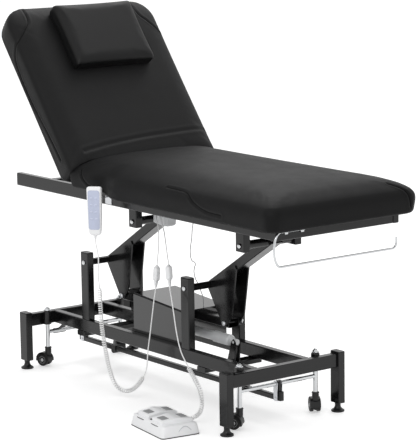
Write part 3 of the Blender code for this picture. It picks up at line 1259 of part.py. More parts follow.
def foot_control():
    """Low sloping base with two pockets, a rocker in each, and a cord gland behind."""
    half_x = PEDALBOX_WIDTH / 2
    half_y = PEDALBOX_DEPTH / 2
    loops = []
    side_inset = PEDALBOX_TOP_INSET * PEDALBOX_SIDE_INSET_SHARE
    for rise, inset in PEDALBOX_STATION_SHARES:
        outline = rounded_rectangle(half_x - side_inset * inset, half_y - PEDALBOX_TOP_INSET * inset,
                                    PEDALBOX_CORNER)
        loops.append([(a, b, PEDALBOX_HEIGHT * rise) for a, b in outline])
    bm = bmesh.new()
    add_loops(bm, loops)
    node = make_object("foot_control_base", bm, "white_plastic", frame=pedalbox_matrix())
    weld(node, turned_body(1, [(PEDALBOX_GLAND_RADIUS, half_y - PEDALBOX_TOP_INSET),
                               (PEDALBOX_GLAND_RADIUS * PEDALBOX_GLAND_TAPER_SHARE,
                                half_y + PEDALBOX_GLAND_LENGTH)],
                           (PEDALBOX_GLAND_HEIGHT, PEDALBOX_GLAND_SHIFT)))
    pocket_x = ROCKER_WIDTH / 2 + ROCKER_SIDE_GAP
    pocket_y = ROCKER_DEPTH / 2 + ROCKER_SIDE_GAP * 2
    for side in (-1, 1):
        x = side * ROCKER_SPACING / 2
        cut(node, bar_body(2, (2 * pocket_x, 2 * pocket_y), (x, 0), ROCKER_POCKET_FLOOR,
                           PEDALBOX_HEIGHT + CUT_OVERRUN, corner=ROCKER_SIDE_GAP))
        reach = pocket_x + ROCKER_PIN_REACH
        cut(node, rod_body(0, ROCKER_PIN_RADIUS + GAP, (0, ROCKER_PIN_HEIGHT), x - reach, x + reach,
                           PEG_SIDES))
    for label, side in (("left", -1), ("right", 1)):
        rocker(label, side * ROCKER_SPACING / 2)


def rocker(label, x):
    """Two-way pedal: low at both ends, ridged in the middle, on a cross pin."""
    half = ROCKER_DEPTH / 2
    ridge = half * ROCKER_RIDGE_SHARE
    zero = ROCKER_PIN_HEIGHT
    outline = [
        (ROCKER_UNDERSIDE - zero, -half), (ROCKER_END_HEIGHT - zero, -half),
        (ROCKER_MID_HEIGHT - zero, -ridge), (ROCKER_MID_HEIGHT - zero, ridge),
        (ROCKER_END_HEIGHT - zero, half), (ROCKER_UNDERSIDE - zero, half),
    ]
    points = [(y, z) for z, y in outline]
    frame = pedalbox_matrix() @ Matrix.Translation((x, 0, zero))
    node = make_object("foot_rocker_" + label, plate_body(0, points, -ROCKER_WIDTH / 2, ROCKER_WIDTH / 2),
                       "white_plastic", frame=frame)
    web = ROCKER_WIDTH / 3
    weld(node, bar_body(0, (ROCKER_PIN_RADIUS * 4, ROCKER_UNDERSIDE - zero + ROCKER_PIN_RADIUS * 2),
                        (0, (ROCKER_UNDERSIDE - zero) / 2), -web, web, corner=ROCKER_PIN_RADIUS / 2))
    pin = ROCKER_WIDTH / 2 + ROCKER_SIDE_GAP + ROCKER_PIN_REACH - GAP
    weld(node, rod_body(0, ROCKER_PIN_RADIUS, (0, 0), -pin, pin, PEG_SIDES))


# Cords and swept rods

def smooth_route(points, step):
    """Even points along a Catmull-Rom curve through the route."""
    padded = [Vector(points[0]) * 2 - Vector(points[1])] + [Vector(p) for p in points]
    padded.append(padded[-1] * 2 - padded[-2])
    fine = []
    for a, b, c, d in zip(padded, padded[1:], padded[2:], padded[3:]):
        for k in range(16):
            t = k / 16
            fine.append(0.5 * ((2 * b) + (c - a) * t + (2 * a - 5 * b + 4 * c - d) * t * t
                               + (3 * b - a - 3 * c + d) * t ** 3))
    fine.append(padded[-2])
    lengths = [0.0]
    for p, q in zip(fine, fine[1:]):
        lengths.append(lengths[-1] + (q - p).length)
    count = max(2, round(lengths[-1] / step))
    even = []
    index = 0
    for k in range(count + 1):
        goal = lengths[-1] * k / count
        while index < len(fine) - 2 and lengths[index + 1] < goal:
            index += 1
        share = (goal - lengths[index]) / (lengths[index + 1] - lengths[index])
        even.append(fine[index].lerp(fine[index + 1], share))
    return even, lengths[-1]


def carried_frames(points):
    """A normal and binormal at each point, carried along without twist."""
    tangents = []
    for i in range(len(points)):
        before = points[max(i - 1, 0)]
        after = points[min(i + 1, len(points) - 1)]
        tangents.append((after - before).normalized())
    seed = Vector((0, 0, 1)) if abs(tangents[0].z) < 0.9 else Vector((1, 0, 0))
    normal = (seed - tangents[0] * seed.dot(tangents[0])).normalized()
    frames = []
    for tangent in tangents:
        normal = (normal - tangent * normal.dot(tangent)).normalized()
        frames.append((tangent, normal, tangent.cross(normal)))
    return frames


def sweep(points, radius, sides):
    points = [Vector(p) for p in points]
    loops = []
    for point, (tangent, normal, binormal) in zip(points, carried_frames(points)):
        loops.append([point + normal * a + binormal * b for a, b in circle(radius, sides)])
    bm = bmesh.new()
    add_loops(bm, loops)
    return bm


def tube_node(name, points, radius, resolution, finish):
    """A cord as a poly curve with a round bevel and filled caps."""
    curve = bpy.data.curves.new(name, "CURVE")
    curve.dimensions = "3D"
    curve.bevel_depth = radius
    curve.bevel_resolution = resolution
    curve.use_fill_caps = True
    spline = curve.splines.new("POLY")
    spline.points.add(len(points) - 1)
    for point, place in zip(spline.points, points):
        point.co = (*place, 1)
    curve.materials.append(finish_material(finish))
    node = bpy.data.objects.new(name, curve)
    bpy.context.scene.collection.objects.link(node)
    node.parent = TABLE
    return node


def curly_points(route, curls, span_share, step):
    """A cord whose middle stretch winds round the smooth route; both ends run straight."""
    fine, length = smooth_route(route, step)
    start = length * span_share[0]
    end = length * span_share[1]
    dense, _ = smooth_route(route, length / (curls * POINTS_PER_CURL * 3))
    frames = carried_frames(dense)
    spacing = length / (len(dense) - 1)
    points = [p for k, p in enumerate(fine) if k * length / (len(fine) - 1) < start - step / 2]
    total = curls * POINTS_PER_CURL
    ramp = POINTS_PER_CURL
    for k in range(total + 1):
        along = start + (end - start) * k / total
        index = min(int(round(along / spacing)), len(dense) - 1)
        tangent, normal, binormal = frames[index]
        turn = math.tau * k / POINTS_PER_CURL
        reach = CURL_RADIUS * min(1.0, k / ramp, (total - k) / ramp)
        points.append(dense[index] + normal * (reach * math.cos(turn)) + binormal * (reach * math.sin(turn)))
    points += [p for k, p in enumerate(fine) if k * length / (len(fine) - 1) > end + step / 2]
    return points


def least_gap(points, radius, apart):
    """Smallest distance between the surfaces of stretches that aren't neighbours."""
    best = None
    for i in range(len(points)):
        for j in range(i + apart, min(i + apart * 4, len(points))):
            distance = (points[i] - points[j]).length - 2 * radius
            if best is None or distance < best:
                best = distance
    return best


def cord_length(points):
    return sum((b - a).length for a, b in zip(points, points[1:]))


def fitted_route(start, middle, end, radius):
    """A route that leaves one face squarely and meets the other squarely, each with the gap."""
    straight = radius * CORD_STRAIGHT_SHARE
    (start_point, start_way), (end_point, end_way) = start, end
    points = [start_point + start_way * GAP, start_point + start_way * straight]
    points += [Vector(p) for p in middle]
    points += [end_point + end_way * straight, end_point + end_way * GAP]
    return points


def plug_ends(plug):
    """The two end faces of a plug, each with its outward direction."""
    low, high = Vector(plug[0]), Vector(plug[1])
    axis = (high - low).normalized()
    return (low, -axis), (high, axis)


def handset_exit():
    frame = handset_matrix()
    return frame @ Vector((0, 0, -HANDSET_LENGTH - HANDSET_EXIT_LENGTH)), Vector((0, 0, -1))


def gland_face():
    frame = pedalbox_matrix()
    place = Vector((PEDALBOX_GLAND_SHIFT, PEDALBOX_DEPTH / 2 + PEDALBOX_GLAND_LENGTH, PEDALBOX_GLAND_HEIGHT))
    return frame @ place, frame.to_3x3() @ Vector((0, 1, 0))


def cover_face():
    slope = (COVER_FOOT_TOP - COVER_HEAD_TOP) / (COVER_FOOT_X - COVER_HEAD_X)
    return Vector((CABLE_END_X, 0, cover_top(CABLE_END_X))), Vector((-slope, 0, 1)).normalized()


def member_face():
    return Vector((MID_MEMBER_X, 0, TOP_BOTTOM)), Vector((0, 0, -1))


def cords():
    handset_low, handset_high = plug_ends(HANDSET_PLUG)
    pedal_low, pedal_high = plug_ends(PEDAL_PLUG)
    curly = (("handset_cord", handset_exit(), HANDSET_ROUTE, handset_low, HANDSET_CURLS,
              HANDSET_CURL_SPAN_SHARE),
             ("foot_control_cord", pedal_low, PEDAL_ROUTE, gland_face(), PEDAL_CURLS,
              PEDAL_CURL_SPAN_SHARE))
    for name, start, middle, end, curls, span in curly:
        route = fitted_route(start, middle, end, CORD_RADIUS)
        points = curly_points(route, curls, span, CORD_RADIUS * CORD_STEP_SHARE)
        tube_node(name, points, CORD_RADIUS, 1, "white_cord")
        gap = least_gap(points, CORD_RADIUS, POINTS_PER_CURL - 2)
        if gap < LEAST_CORD_GAP:
            raise ValueError(name + " touches itself")
        print(name, "least gap to itself mm", round(gap * 1000, 2), "length m",
              round(cord_length(points), 3))
    plain = (("handset_lead", handset_high, HANDSET_LEAD_ROUTE, box_socket(HANDSET_SOCKET), LEAD_RADIUS,
              "white_cord"),
             ("foot_control_lead", pedal_high, PEDAL_LEAD_ROUTE, box_socket(PEDAL_SOCKET), LEAD_RADIUS,
              "white_cord"),
             ("actuator_cable", member_face(), CABLE_ROUTE, cover_face(), CABLE_RADIUS, "grey_cord"))
    for name, start, middle, end, radius, finish in plain:
        points, length = smooth_route(fitted_route(start, middle, end, radius), radius * LEAD_STEP_SHARE)
        tube_node(name, points, radius, 2, finish)
        print(name, "length m", round(length, 3))
    plug("handset_connector", HANDSET_PLUG)
    plug("foot_control_connector", PEDAL_PLUG)


def plug(name, ends):
    """In-line plug between two cords: a long boot below, a round body and a short boot above."""
    low, high = Vector(ends[0]), Vector(ends[1])
    axis = (high - low).normalized()
    length = (high - low).length
    body_low = CONNECTOR_LOW_BOOT
    body_high = length - CONNECTOR_HIGH_BOOT
    shoulder = CONNECTOR_RADIUS - CONNECTOR_ROUND
    profile = [(CONNECTOR_NECK_RADIUS, 0), (CONNECTOR_BOOT_RADIUS, body_low),
               (shoulder, body_low + GAP), (CONNECTOR_RADIUS, body_low + CONNECTOR_ROUND),
               (CONNECTOR_RADIUS, body_high - CONNECTOR_ROUND), (shoulder, body_high),
               (CONNECTOR_NECK_RADIUS, length)]
    turn = Vector((0, 0, 1)).rotation_difference(axis).to_matrix().to_4x4()
    make_object(name, turned_body(2, profile, (0, 0)), "white_plastic",
                frame=Matrix.Translation(low) @ turn)


# Assembly

def move_origin():
    """Shift the table so that its origin is the bottom centre of its box, cords aside."""
    bpy.context.view_layer.update()
    graph = bpy.context.evaluated_depsgraph_get()
    low = Vector((math.inf,) * 3)
    high = Vector((-math.inf,) * 3)
    for node in bpy.context.scene.objects:
        if node.type != "MESH" or node.hide_render or node.name in CORD_NODES:
            continue
        shown = node.evaluated_get(graph)
        mesh = shown.to_mesh()
        for vert in mesh.vertices:
            place = shown.matrix_world @ vert.co
            low = Vector(map(min, low, place))
            high = Vector(map(max, high, place))
        shown.to_mesh_clear()
    TABLE.location = (-(low.x + high.x) / 2, -(low.y + high.y) / 2, -low.z)
    print("table origin moved by", tuple(round(v, 6) for v in TABLE.location))
    print("table box", tuple(round(v, 4) for v in high - low))


clear_scene()
TABLE = bpy.data.objects.new("table", None)
bpy.context.scene.collection.objects.link(TABLE)

for END, SIDE in (("head", -1), ("foot", 1)):
    base_end(END, SIDE)
    for FLANK, Y_SIDE in (("near", -1), ("far", 1)):
        CORNER = FLANK + "_" + END
        levelling_foot("levelling_foot_" + CORNER, SIDE * LEG_X, Y_SIDE * LEG_Y)
        upright("upright_" + CORNER, PIVOT_HEAD_X if SIDE < 0 else PIVOT_FOOT_X, Y_SIDE * RAIL_Y)
        castor(CORNER, SIDE * STEM_X, Y_SIDE * STEM_Y, CASTOR_HEADINGS[CORNER])
    castor_yoke(END, SIDE)
    lift_arm(END, PIVOT_HEAD_X if SIDE < 0 else PIVOT_FOOT_X)
    pivot_member(END, TOP_PIVOT_X if SIDE < 0 else TOP_PIVOT_X + PIVOT_SPACING)
for FLANK, Y_SIDE in (("near", -1), ("far", 1)):
    base_rail("base_rail_" + FLANK, Y_SIDE * RAIL_Y)
    top_rail("top_rail_" + FLANK, Y_SIDE * TOP_RAIL_Y)
base_tie_head()
base_tie_foot()
link_beam()
lift_actuator()
mechanism_cover()
hinge_member()
middle_member()
cross_tube("top_crossbar_head", CROSSBAR_X)
cross_tube("top_beam_foot", TOP_FOOT_X - TUBE_WIDE / 2)
roll_holder()
backrest_frame()
backrest_actuator()
seat_pad()
backrest_pad()
pillow()
castor_link_bar()
castor_pedal()
handset()
handset_hook()
foot_control()
cords()
move_origin()
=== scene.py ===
"""Looks of the height-adjustable massage table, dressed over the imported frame."""
from math import atan2, cos, exp, pi, radians, sin, sqrt, tau

import bmesh
import bpy
import numpy as np
from mathutils import Matrix, Vector
from mathutils.bvhtree import BVHTree
from mathutils.kdtree import KDTree


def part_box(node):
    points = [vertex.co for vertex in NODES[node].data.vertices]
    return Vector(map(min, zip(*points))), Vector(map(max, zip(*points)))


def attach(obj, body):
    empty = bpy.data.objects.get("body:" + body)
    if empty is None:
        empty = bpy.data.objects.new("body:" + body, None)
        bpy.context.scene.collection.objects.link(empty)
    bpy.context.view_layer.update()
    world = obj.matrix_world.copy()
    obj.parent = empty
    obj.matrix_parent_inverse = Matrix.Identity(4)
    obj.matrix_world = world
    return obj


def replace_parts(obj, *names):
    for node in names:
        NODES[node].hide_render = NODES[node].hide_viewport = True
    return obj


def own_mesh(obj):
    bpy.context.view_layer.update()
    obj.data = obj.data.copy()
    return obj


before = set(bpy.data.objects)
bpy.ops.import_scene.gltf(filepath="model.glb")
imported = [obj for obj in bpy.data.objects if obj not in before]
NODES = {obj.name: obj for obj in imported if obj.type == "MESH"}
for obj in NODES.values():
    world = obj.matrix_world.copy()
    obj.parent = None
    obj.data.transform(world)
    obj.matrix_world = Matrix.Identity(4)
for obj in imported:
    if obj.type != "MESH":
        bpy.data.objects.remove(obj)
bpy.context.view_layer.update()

# Table coordinates (zero in the middle of the base) are used below; SHIFT takes them to the row frame.
END_LOW, END_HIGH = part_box("base_end_head")
SHIFT = Vector((END_LOW.x + 0.680, (END_LOW.y + END_HIGH.y) / 2, 0))
TO_ROW = Matrix.Translation(SHIFT)


def at(x, y, z=0.0):
    return Matrix.Translation((x, y, z))


def spun(axis, degrees):
    return Matrix.Rotation(radians(degrees), 4, axis)


BACKREST_FRAME = at(-0.275, 0, 0.810733) @ spun("Z", 180.0) @ spun("Y", -52.0)
SEAT_FRAME = at(0.3910, 0.009, 0.799033)
BACK_PAD_FRAME = BACKREST_FRAME @ at(0.3600, -0.0105, 0.0103)
PILLOW_FRAME = BACKREST_FRAME @ at(0.549, -0.029, 0.1250)
HANDSET_FRAME = at(-0.013, -0.352, 0.827733) @ spun("Z", 40.0)
PEDALBOX_FRAME = at(0.442, -0.377) @ spun("Z", -8.0)

CORD_RADIUS = 0.00225
LEAD_RADIUS = 0.002
CABLE_RADIUS = 0.0018
CURL_RADIUS = 0.0065
CURL_PITCH = 0.0090
POINTS_PER_CURL = 12
HANDSET_ROUTE = [
    (-0.013, -0.352, 0.630433), (-0.013, -0.352, 0.621733), (0.004, -0.352, 0.56), (-0.006, -0.348, 0.5),
    (-0.008, -0.342, 0.44), (-0.018, -0.332, 0.35), (-0.03, -0.318, 0.27), (-0.046, -0.292, 0.17),
    (-0.052, -0.268, 0.09), (-0.043, -0.25, 0.044), (-0.014, -0.228, 0.026), (0.022, -0.213, 0.042),
    (0.058, -0.204, 0.08), (0.083, -0.198, 0.126), (0.089, -0.194, 0.197), (0.096, -0.188, 0.26),
    (0.1, -0.179, 0.333), (0.099, -0.168, 0.394), (0.096233, -0.158642, 0.428327),
    (0.096491, -0.158021, 0.437001),
]
HANDSET_CURLS = (0.170, 0.685)
PEDAL_ROUTE = [
    (0.18565, -0.158022, 0.455305), (0.187101, -0.158667, 0.446751), (0.204, -0.166, 0.424),
    (0.238, -0.18, 0.364), (0.272, -0.193, 0.296), (0.315, -0.207, 0.239), (0.37, -0.219, 0.197),
    (0.422, -0.227, 0.16), (0.462, -0.232, 0.122), (0.48, -0.238, 0.08), (0.472, -0.242, 0.046),
    (0.449, -0.25, 0.024), (0.436529, -0.272219, 0.018), (0.435319, -0.280834, 0.018),
]
PEDAL_CURLS = (0.560, 0.972)
HANDSET_LEAD = [
    (0.099009, -0.151979, 0.521499), (0.099238, -0.15143, 0.529176), (0.091, -0.142, 0.552),
    (0.082, -0.13, 0.6), (0.069, -0.12, 0.645), (0.052, -0.114, 0.677), (0.041, -0.11, 0.693),
    (0.037355, -0.101, 0.70012), (0.037355, -0.0933, 0.70012),
]
PEDAL_LEAD = [
    (0.17205, -0.151978, 0.535495), (0.170766, -0.151407, 0.543066), (0.152, -0.142, 0.566),
    (0.128, -0.131, 0.606), (0.104, -0.12, 0.645), (0.082, -0.114, 0.677), (0.07, -0.11, 0.693),
    (0.065425, -0.101, 0.699804), (0.065425, -0.0933, 0.699804),
]
CABLE_ROUTE = [
    (0.15, 0, 0.748433), (0.15, 0, 0.741533), (0.138, 0, 0.706), (0.125, 0, 0.665), (0.119, 0, 0.637),
    (0.115, 0, 0.604), (0.108, 0, 0.578), (0.105, 0, 0.558), (0.107, 0, 0.536), (0.114, 0, 0.522),
    (0.1235, 0, 0.519), (0.1325, 0, 0.518), (0.1355, 0, 0.509), (0.129, 0, 0.494), (0.127, 0, 0.478),
    (0.135, 0, 0.456), (0.15, 0, 0.439), (0.168, 0, 0.413), (0.18, 0, 0.392), (0.184498, 0, 0.359599),
    (0.184021, 0, 0.352716),
]
HANDSET_PLUG = ((0.0965, -0.158, 0.4373), (0.099, -0.152, 0.5212))
PEDAL_PLUG = ((0.1856, -0.158, 0.4556), (0.1721, -0.152, 0.5352))


# Places that several pieces share
ENDS = (("head", -1), ("foot", 1))
FLANKS = (("near", -1), ("far", 1))
HANDS = (("left", -1), ("right", 1))
CASTOR_X, CASTOR_Y = 0.6245, 0.178
LEG_X, LEG_Y = 0.655, 0.260
UPRIGHT_X = {"head": -0.416, "foot": 0.244}
ARM_TOP_X = {"head": -0.08066, "foot": 0.57934}
ARM_FACE_Y = 0.1343
LINK_PIN_X = {"head": -0.33198, "foot": 0.32802}
LINK_PIN_Y, LINK_PIN_Z, LINK_HALF_WIDTH = 0.018, 0.31701, 0.0323
RAIL_END_X = {"head": -0.658, "foot": 0.963}
WHEEL_X, WHEEL_Z = 0.018, 0.028
PEDAL_X = 0.054

# Stage: light of the world, grey and glow of the paper floor
WORLD_LIGHT = 0.80
FLOOR_GREY = 0.86
FLOOR_GLOW = 0.42
FLOOR_REACH = 40.0
FLOOR_LEVEL = -0.0004
LAMP_SIZE = 2.4


# Camera, light and stage, with the node helpers

def add_object(name, data):
    made = bpy.data.objects.new(name, data)
    bpy.context.scene.collection.objects.link(made)
    return made


def make_camera():
    right = Vector((0.607633, 0.794105, -0.013415))
    up = Vector((-0.132040, 0.117662, 0.984236))
    ahead = Vector((-0.783165, 0.596283, -0.176349))
    place = Vector((6.6402, -4.8822, 2.1272)) + SHIFT
    data = bpy.data.cameras.new("camera")
    data.sensor_width = 36.0
    data.lens = 177.52
    data.clip_start = 0.1
    data.clip_end = 200.0
    camera = add_object("camera", data)
    camera.matrix_world = at(*place) @ Matrix((right, up, -ahead)).transposed().to_4x4()
    bpy.context.scene.camera = camera


def shader_node(tree, kind, **values):
    made = tree.nodes.new(kind)
    for key, value in values.items():
        made.inputs[key.replace("_", " ")].default_value = value
    return made


def math_node(tree, operation, *inputs):
    """Math on numbers and sockets, in the order of the node's inputs."""
    made = tree.nodes.new("ShaderNodeMath")
    made.operation = operation
    for slot, value in zip(made.inputs, inputs):
        if isinstance(value, float):
            slot.default_value = value
        else:
            tree.links.new(value, slot)
    return made.outputs[0]


def noise(tree, place, **values):
    made = shader_node(tree, "ShaderNodeTexNoise", **values)
    tree.links.new(place, made.inputs["Vector"])
    return made.outputs["Fac"]


def map_range(tree, value, from_min, from_max, to_min, to_max):
    made = shader_node(tree, "ShaderNodeMapRange", From_Min=from_min, From_Max=from_max, To_Min=to_min,
                       To_Max=to_max)
    tree.links.new(value, made.inputs["Value"])
    return made.outputs["Result"]


def empty_tree(owner):
    owner.use_nodes = True
    owner.node_tree.nodes.clear()
    return owner.node_tree


def seen_directly(tree):
    """1 for camera, glossy and transmission rays, 0 for the others."""
    path = tree.nodes.new("ShaderNodeLightPath")
    seen = path.outputs["Is Camera Ray"]
    for ray in ("Is Glossy Ray", "Is Transmission Ray"):
        seen = math_node(tree, "MAXIMUM", seen, path.outputs[ray])
    return seen


def make_world():
    """Even light all round; the white background shows only in view, gloss and glass."""
    world = bpy.data.worlds.new("studio")
    bpy.context.scene.world = world
    tree = empty_tree(world)
    mix = tree.nodes.new("ShaderNodeMixShader")
    tree.links.new(seen_directly(tree), mix.inputs["Fac"])
    for slot, strength in ((1, WORLD_LIGHT), (2, 1.0)):
        sky = shader_node(tree, "ShaderNodeBackground", Color=(1.0, 1.0, 1.0, 1.0), Strength=strength)
        tree.links.new(sky.outputs[0], mix.inputs[slot])
    output = tree.nodes.new("ShaderNodeOutputWorld")
    tree.links.new(mix.outputs[0], output.inputs["Surface"])


def make_floor():
    """Pale paper that takes the shadow; its glow shows only in view, gloss and glass."""
    material = bpy.data.materials.new("studio_floor")
    tree = empty_tree(material)
    link = tree.links.new
    paper = shader_node(tree, "ShaderNodeBsdfDiffuse", Color=(FLOOR_GREY, FLOOR_GREY, FLOOR_GREY, 1.0))
    glow = tree.nodes.new("ShaderNodeEmission")
    link(math_node(tree, "MULTIPLY", seen_directly(tree), FLOOR_GLOW), glow.inputs["Strength"])
    add = tree.nodes.new("ShaderNodeAddShader")
    link(paper.outputs[0], add.inputs[0])
    link(glow.outputs[0], add.inputs[1])
    link(add.outputs[0], tree.nodes.new("ShaderNodeOutputMaterial").inputs["Surface"])
    mesh = bpy.data.meshes.new("studio_floor")
    mesh.from_pydata([(x * FLOOR_REACH, y * FLOOR_REACH, FLOOR_LEVEL)
                      for x, y in ((-1, -1), (1, -1), (1, 1), (-1, 1))], [], [(0, 1, 2, 3)])
    mesh.materials.append(material)
    add_object("studio_floor", mesh)


def make_lamp(name, place, target, power):
    data = bpy.data.lights.new(name, "AREA")
    data.shape = "SQUARE"
    data.size = LAMP_SIZE
    data.energy = power
    lamp = add_object(name, data)
    lamp.location = place
    lamp.rotation_mode = "QUATERNION"
    lamp.rotation_quaternion = (Vector(target) - Vector(place)).to_track_quat("-Z", "Y")


# Materials

def surface(name, colour, roughness, specular, tone, tone_scale, spread, grain_scale, grain_depth,
            grain_strength, metallic=0.0, coat=0.0, grain="noise", wear=None):
    """Principled surface with drifting tone and gloss, a fine relief and, if asked, rubbed edges."""
    material = bpy.data.materials.new(name)
    material.use_nodes = True
    tree = material.node_tree
    link = tree.links.new
    shader = tree.nodes["Principled BSDF"]
    for key, value in (("Metallic", metallic), ("Specular IOR Level", specular), ("Coat Weight", coat),
                       ("Coat Roughness", 0.15)):
        shader.inputs[key].default_value = value
    place = tree.nodes.new("ShaderNodeTexCoord").outputs["Object"]

    ramp = tree.nodes.new("ShaderNodeValToRGB")
    for element, position, change in zip(ramp.color_ramp.elements, (0.30, 0.70), (1 - tone, 1 + tone)):
        element.position = position
        element.color = (*[min(c * change, 1.0) for c in colour], 1.0)
    link(noise(tree, place, Scale=tone_scale, Detail=6.0, Roughness=0.62), ramp.inputs["Fac"])
    painted = rubbed_edges(tree, ramp.outputs["Color"], place, *wear) if wear else ramp.outputs["Color"]
    link(painted, shader.inputs["Base Color"])

    gloss = noise(tree, place, Scale=tone_scale * 4, Detail=5.0, Roughness=0.6)
    level = map_range(tree, gloss, 0.3, 0.7, max(roughness - spread, 0.02), min(roughness + spread, 1.0))
    link(level, shader.inputs["Roughness"])

    bump = shader_node(tree, "ShaderNodeBump", Strength=grain_strength, Distance=grain_depth)
    link(grain_relief(tree, place, grain, grain_scale), bump.inputs["Height"])
    link(bump.outputs["Normal"], shader.inputs["Normal"])
    return material


def rubbed_edges(tree, painted, place, colour, amount):
    """Paler paint along convex edges, broken up by noise."""
    link = tree.links.new
    rounded_edge = shader_node(tree, "ShaderNodeBevel", Radius=0.0025)
    rounded_edge.samples = 4
    dot = tree.nodes.new("ShaderNodeVectorMath")
    dot.operation = "DOT_PRODUCT"
    link(rounded_edge.outputs["Normal"], dot.inputs[0])
    link(tree.nodes.new("ShaderNodeNewGeometry").outputs["Normal"], dot.inputs[1])
    edge = map_range(tree, dot.outputs["Value"], 0.99, 0.80, 0.0, amount)
    share = math_node(tree, "MULTIPLY", edge, noise(tree, place, Scale=60.0, Detail=4.0))
    mix = tree.nodes.new("ShaderNodeMix")
    mix.data_type = "RGBA"
    paint, bare = [socket for socket in mix.inputs if socket.type == "RGBA"]
    bare.default_value = (*colour, 1.0)
    link(share, mix.inputs[0])
    link(painted, paint)
    return [socket for socket in mix.outputs if socket.type == "RGBA"][0]


def grain_relief(tree, place, grain, scale):
    """Height for the bump: soft noise for coats, cells with creases between them for leather."""
    soft = noise(tree, place, Scale=scale, Detail=3.0, Roughness=0.55)
    if grain == "noise":
        return soft
    cells = shader_node(tree, "ShaderNodeTexVoronoi", Scale=scale * 0.8)
    cells.feature = "DISTANCE_TO_EDGE"
    tree.links.new(place, cells.inputs["Vector"])
    crowned = map_range(tree, cells.outputs["Distance"], 0.0, 0.28, 0.0, 1.0)
    return math_node(tree, "MULTIPLY_ADD", crowned, 0.7, soft)


BLACK_COAT = (0.0055, 0.0055, 0.0058)
BLACK_HIDE = (0.0040, 0.0040, 0.0042)
# Name, colour, roughness, specular level; drift of tone, its scale, spread of gloss; scale, depth and
# strength of the grain
SURFACES = {
    "steel": ("black_powder_coat", BLACK_COAT, 0.19, 0.34, 0.12, 7.0, 0.06, 520.0, 0.00008, 0.26),
    "cover": ("hood_coat", BLACK_COAT, 0.10, 0.42, 0.10, 7.0, 0.06, 460.0, 0.00005, 0.22),
    "chrome": ("polished_chrome", (0.56, 0.57, 0.58), 0.07, 0.5, 0.05, 12.0, 0.04, 260.0, 0.00002, 0.15),
    "zinc": ("zinc_plate", (0.60, 0.61, 0.63), 0.30, 0.5, 0.12, 30.0, 0.08, 420.0, 0.00006, 0.35),
    "leather": ("black_leather", BLACK_HIDE, 0.52, 0.17, 0.12, 4.0, 0.03, 560.0, 0.00035, 0.42),
    "seat_leather": ("seat_leather", BLACK_HIDE, 0.54, 0.115, 0.12, 4.0, 0.03, 560.0, 0.00035, 0.42),
    "pillow": ("pillow_leather", (0.0042, 0.0042, 0.0044), 0.48, 0.21, 0.12, 6.0, 0.03, 620.0, 0.0003, 0.40),
    # The thread look also colours the dark tube laid along the seat fold as painted shadow.
    "thread": ("black_thread_and_fold_shadow", (0.0015, 0.0015, 0.0015), 0.70, 0.04, 0.2, 7.0, 0.06, 1500.0, 0.0002, 0.5),
    "white": ("white_plastic", (0.87, 0.875, 0.885), 0.34, 0.5, 0.03, 9.0, 0.05, 900.0, 0.00004, 0.25),
    "pale_blue": ("pale_blue_inset", (0.50, 0.54, 0.68), 0.42, 0.5, 0.05, 20.0, 0.06, 1100.0, 0.00005, 0.25),
    "key": ("key_rubber", (0.58, 0.62, 0.76), 0.50, 0.5, 0.05, 40.0, 0.06, 1300.0, 0.00005, 0.35),
    "light_grey": ("light_grey_plastic", (0.66, 0.67, 0.68), 0.40, 0.5, 0.05, 7.0, 0.06, 800.0, 0.00006,
                   0.30),
    "pad_grey": ("grey_pad_rubber", (0.36, 0.365, 0.37), 0.62, 0.5, 0.12, 50.0, 0.06, 1400.0, 0.0002, 0.6),
    "hub": ("hub_plastic", (0.50, 0.51, 0.52), 0.40, 0.5, 0.08, 30.0, 0.06, 900.0, 0.00006, 0.35),
    "black_plastic": ("black_plastic", (0.0070, 0.0070, 0.0074), 0.32, 0.35, 0.12, 16.0, 0.06, 850.0, 0.00008,
                      0.35),
    # The rubber look also colours the painted shadow under the pedal fronts and the painted shade between the
    # pedals.
    "rubber": ("black_rubber_and_painted_shade", BLACK_COAT, 0.50, 0.30, 0.15, 25.0, 0.06, 900.0, 0.0001, 0.35),
    "cord": ("white_cord", (0.85, 0.85, 0.85), 0.42, 0.5, 0.04, 30.0, 0.06, 1500.0, 0.00004, 0.35),
    "cable": ("grey_cable", (0.46, 0.46, 0.47), 0.45, 0.5, 0.06, 30.0, 0.06, 1500.0, 0.00004, 0.35),
    "rod": ("ground_steel", (0.66, 0.66, 0.67), 0.18, 0.5, 0.06, 20.0, 0.05, 500.0, 0.00002, 0.35),
}
EXTRAS = {look: {"metallic": 1.0} for look in ("chrome", "zinc", "rod")}
EXTRAS.update({look: {"grain": "leather"} for look in ("leather", "seat_leather", "pillow")})
EXTRAS["steel"] = {"wear": ((0.040, 0.040, 0.042), 0.8)}
EXTRAS["cover"] = {"wear": ((0.045, 0.045, 0.047), 0.7), "coat": 0.35}
EXTRAS["black_plastic"] = {"wear": ((0.05, 0.05, 0.052), 0.5)}
LOOKS = {look: surface(*row, **EXTRAS.get(look, {})) for look, row in SURFACES.items()}


# Mesh helpers

def loft(loops, caps=True):
    bm = bmesh.new()
    rows = [[bm.verts.new(point) for point in loop] for loop in loops]
    count = len(rows[0])
    for low, high in zip(rows, rows[1:]):
        for i in range(count):
            j = (i + 1) % count
            bm.faces.new((low[i], low[j], high[j], high[i]))
    if caps:
        bm.faces.new(list(reversed(rows[0])))
        bm.faces.new(rows[-1])
    return bm


def rounded(half_a, half_b, radius, steps=4):
    radius = min(radius, half_a, half_b)
    points = []
    for sign_a, sign_b, first in ((1, 1, 0), (-1, 1, 90), (-1, -1, 180), (1, -1, 270)):
        points += arc(radius, [first + 90 * k / steps for k in range(steps + 1)],
                      (sign_a * (half_a - radius), sign_b * (half_b - radius)))
    return points


def circle(radius, height, sides):
    return [(radius * cos(tau * k / sides), radius * sin(tau * k / sides), height)
            for k in range(sides)]


def turned(profile, sides=32):
    """Body of revolution about local Z from (radius, height) pairs."""
    return loft([circle(radius, height, sides) for radius, height in profile])


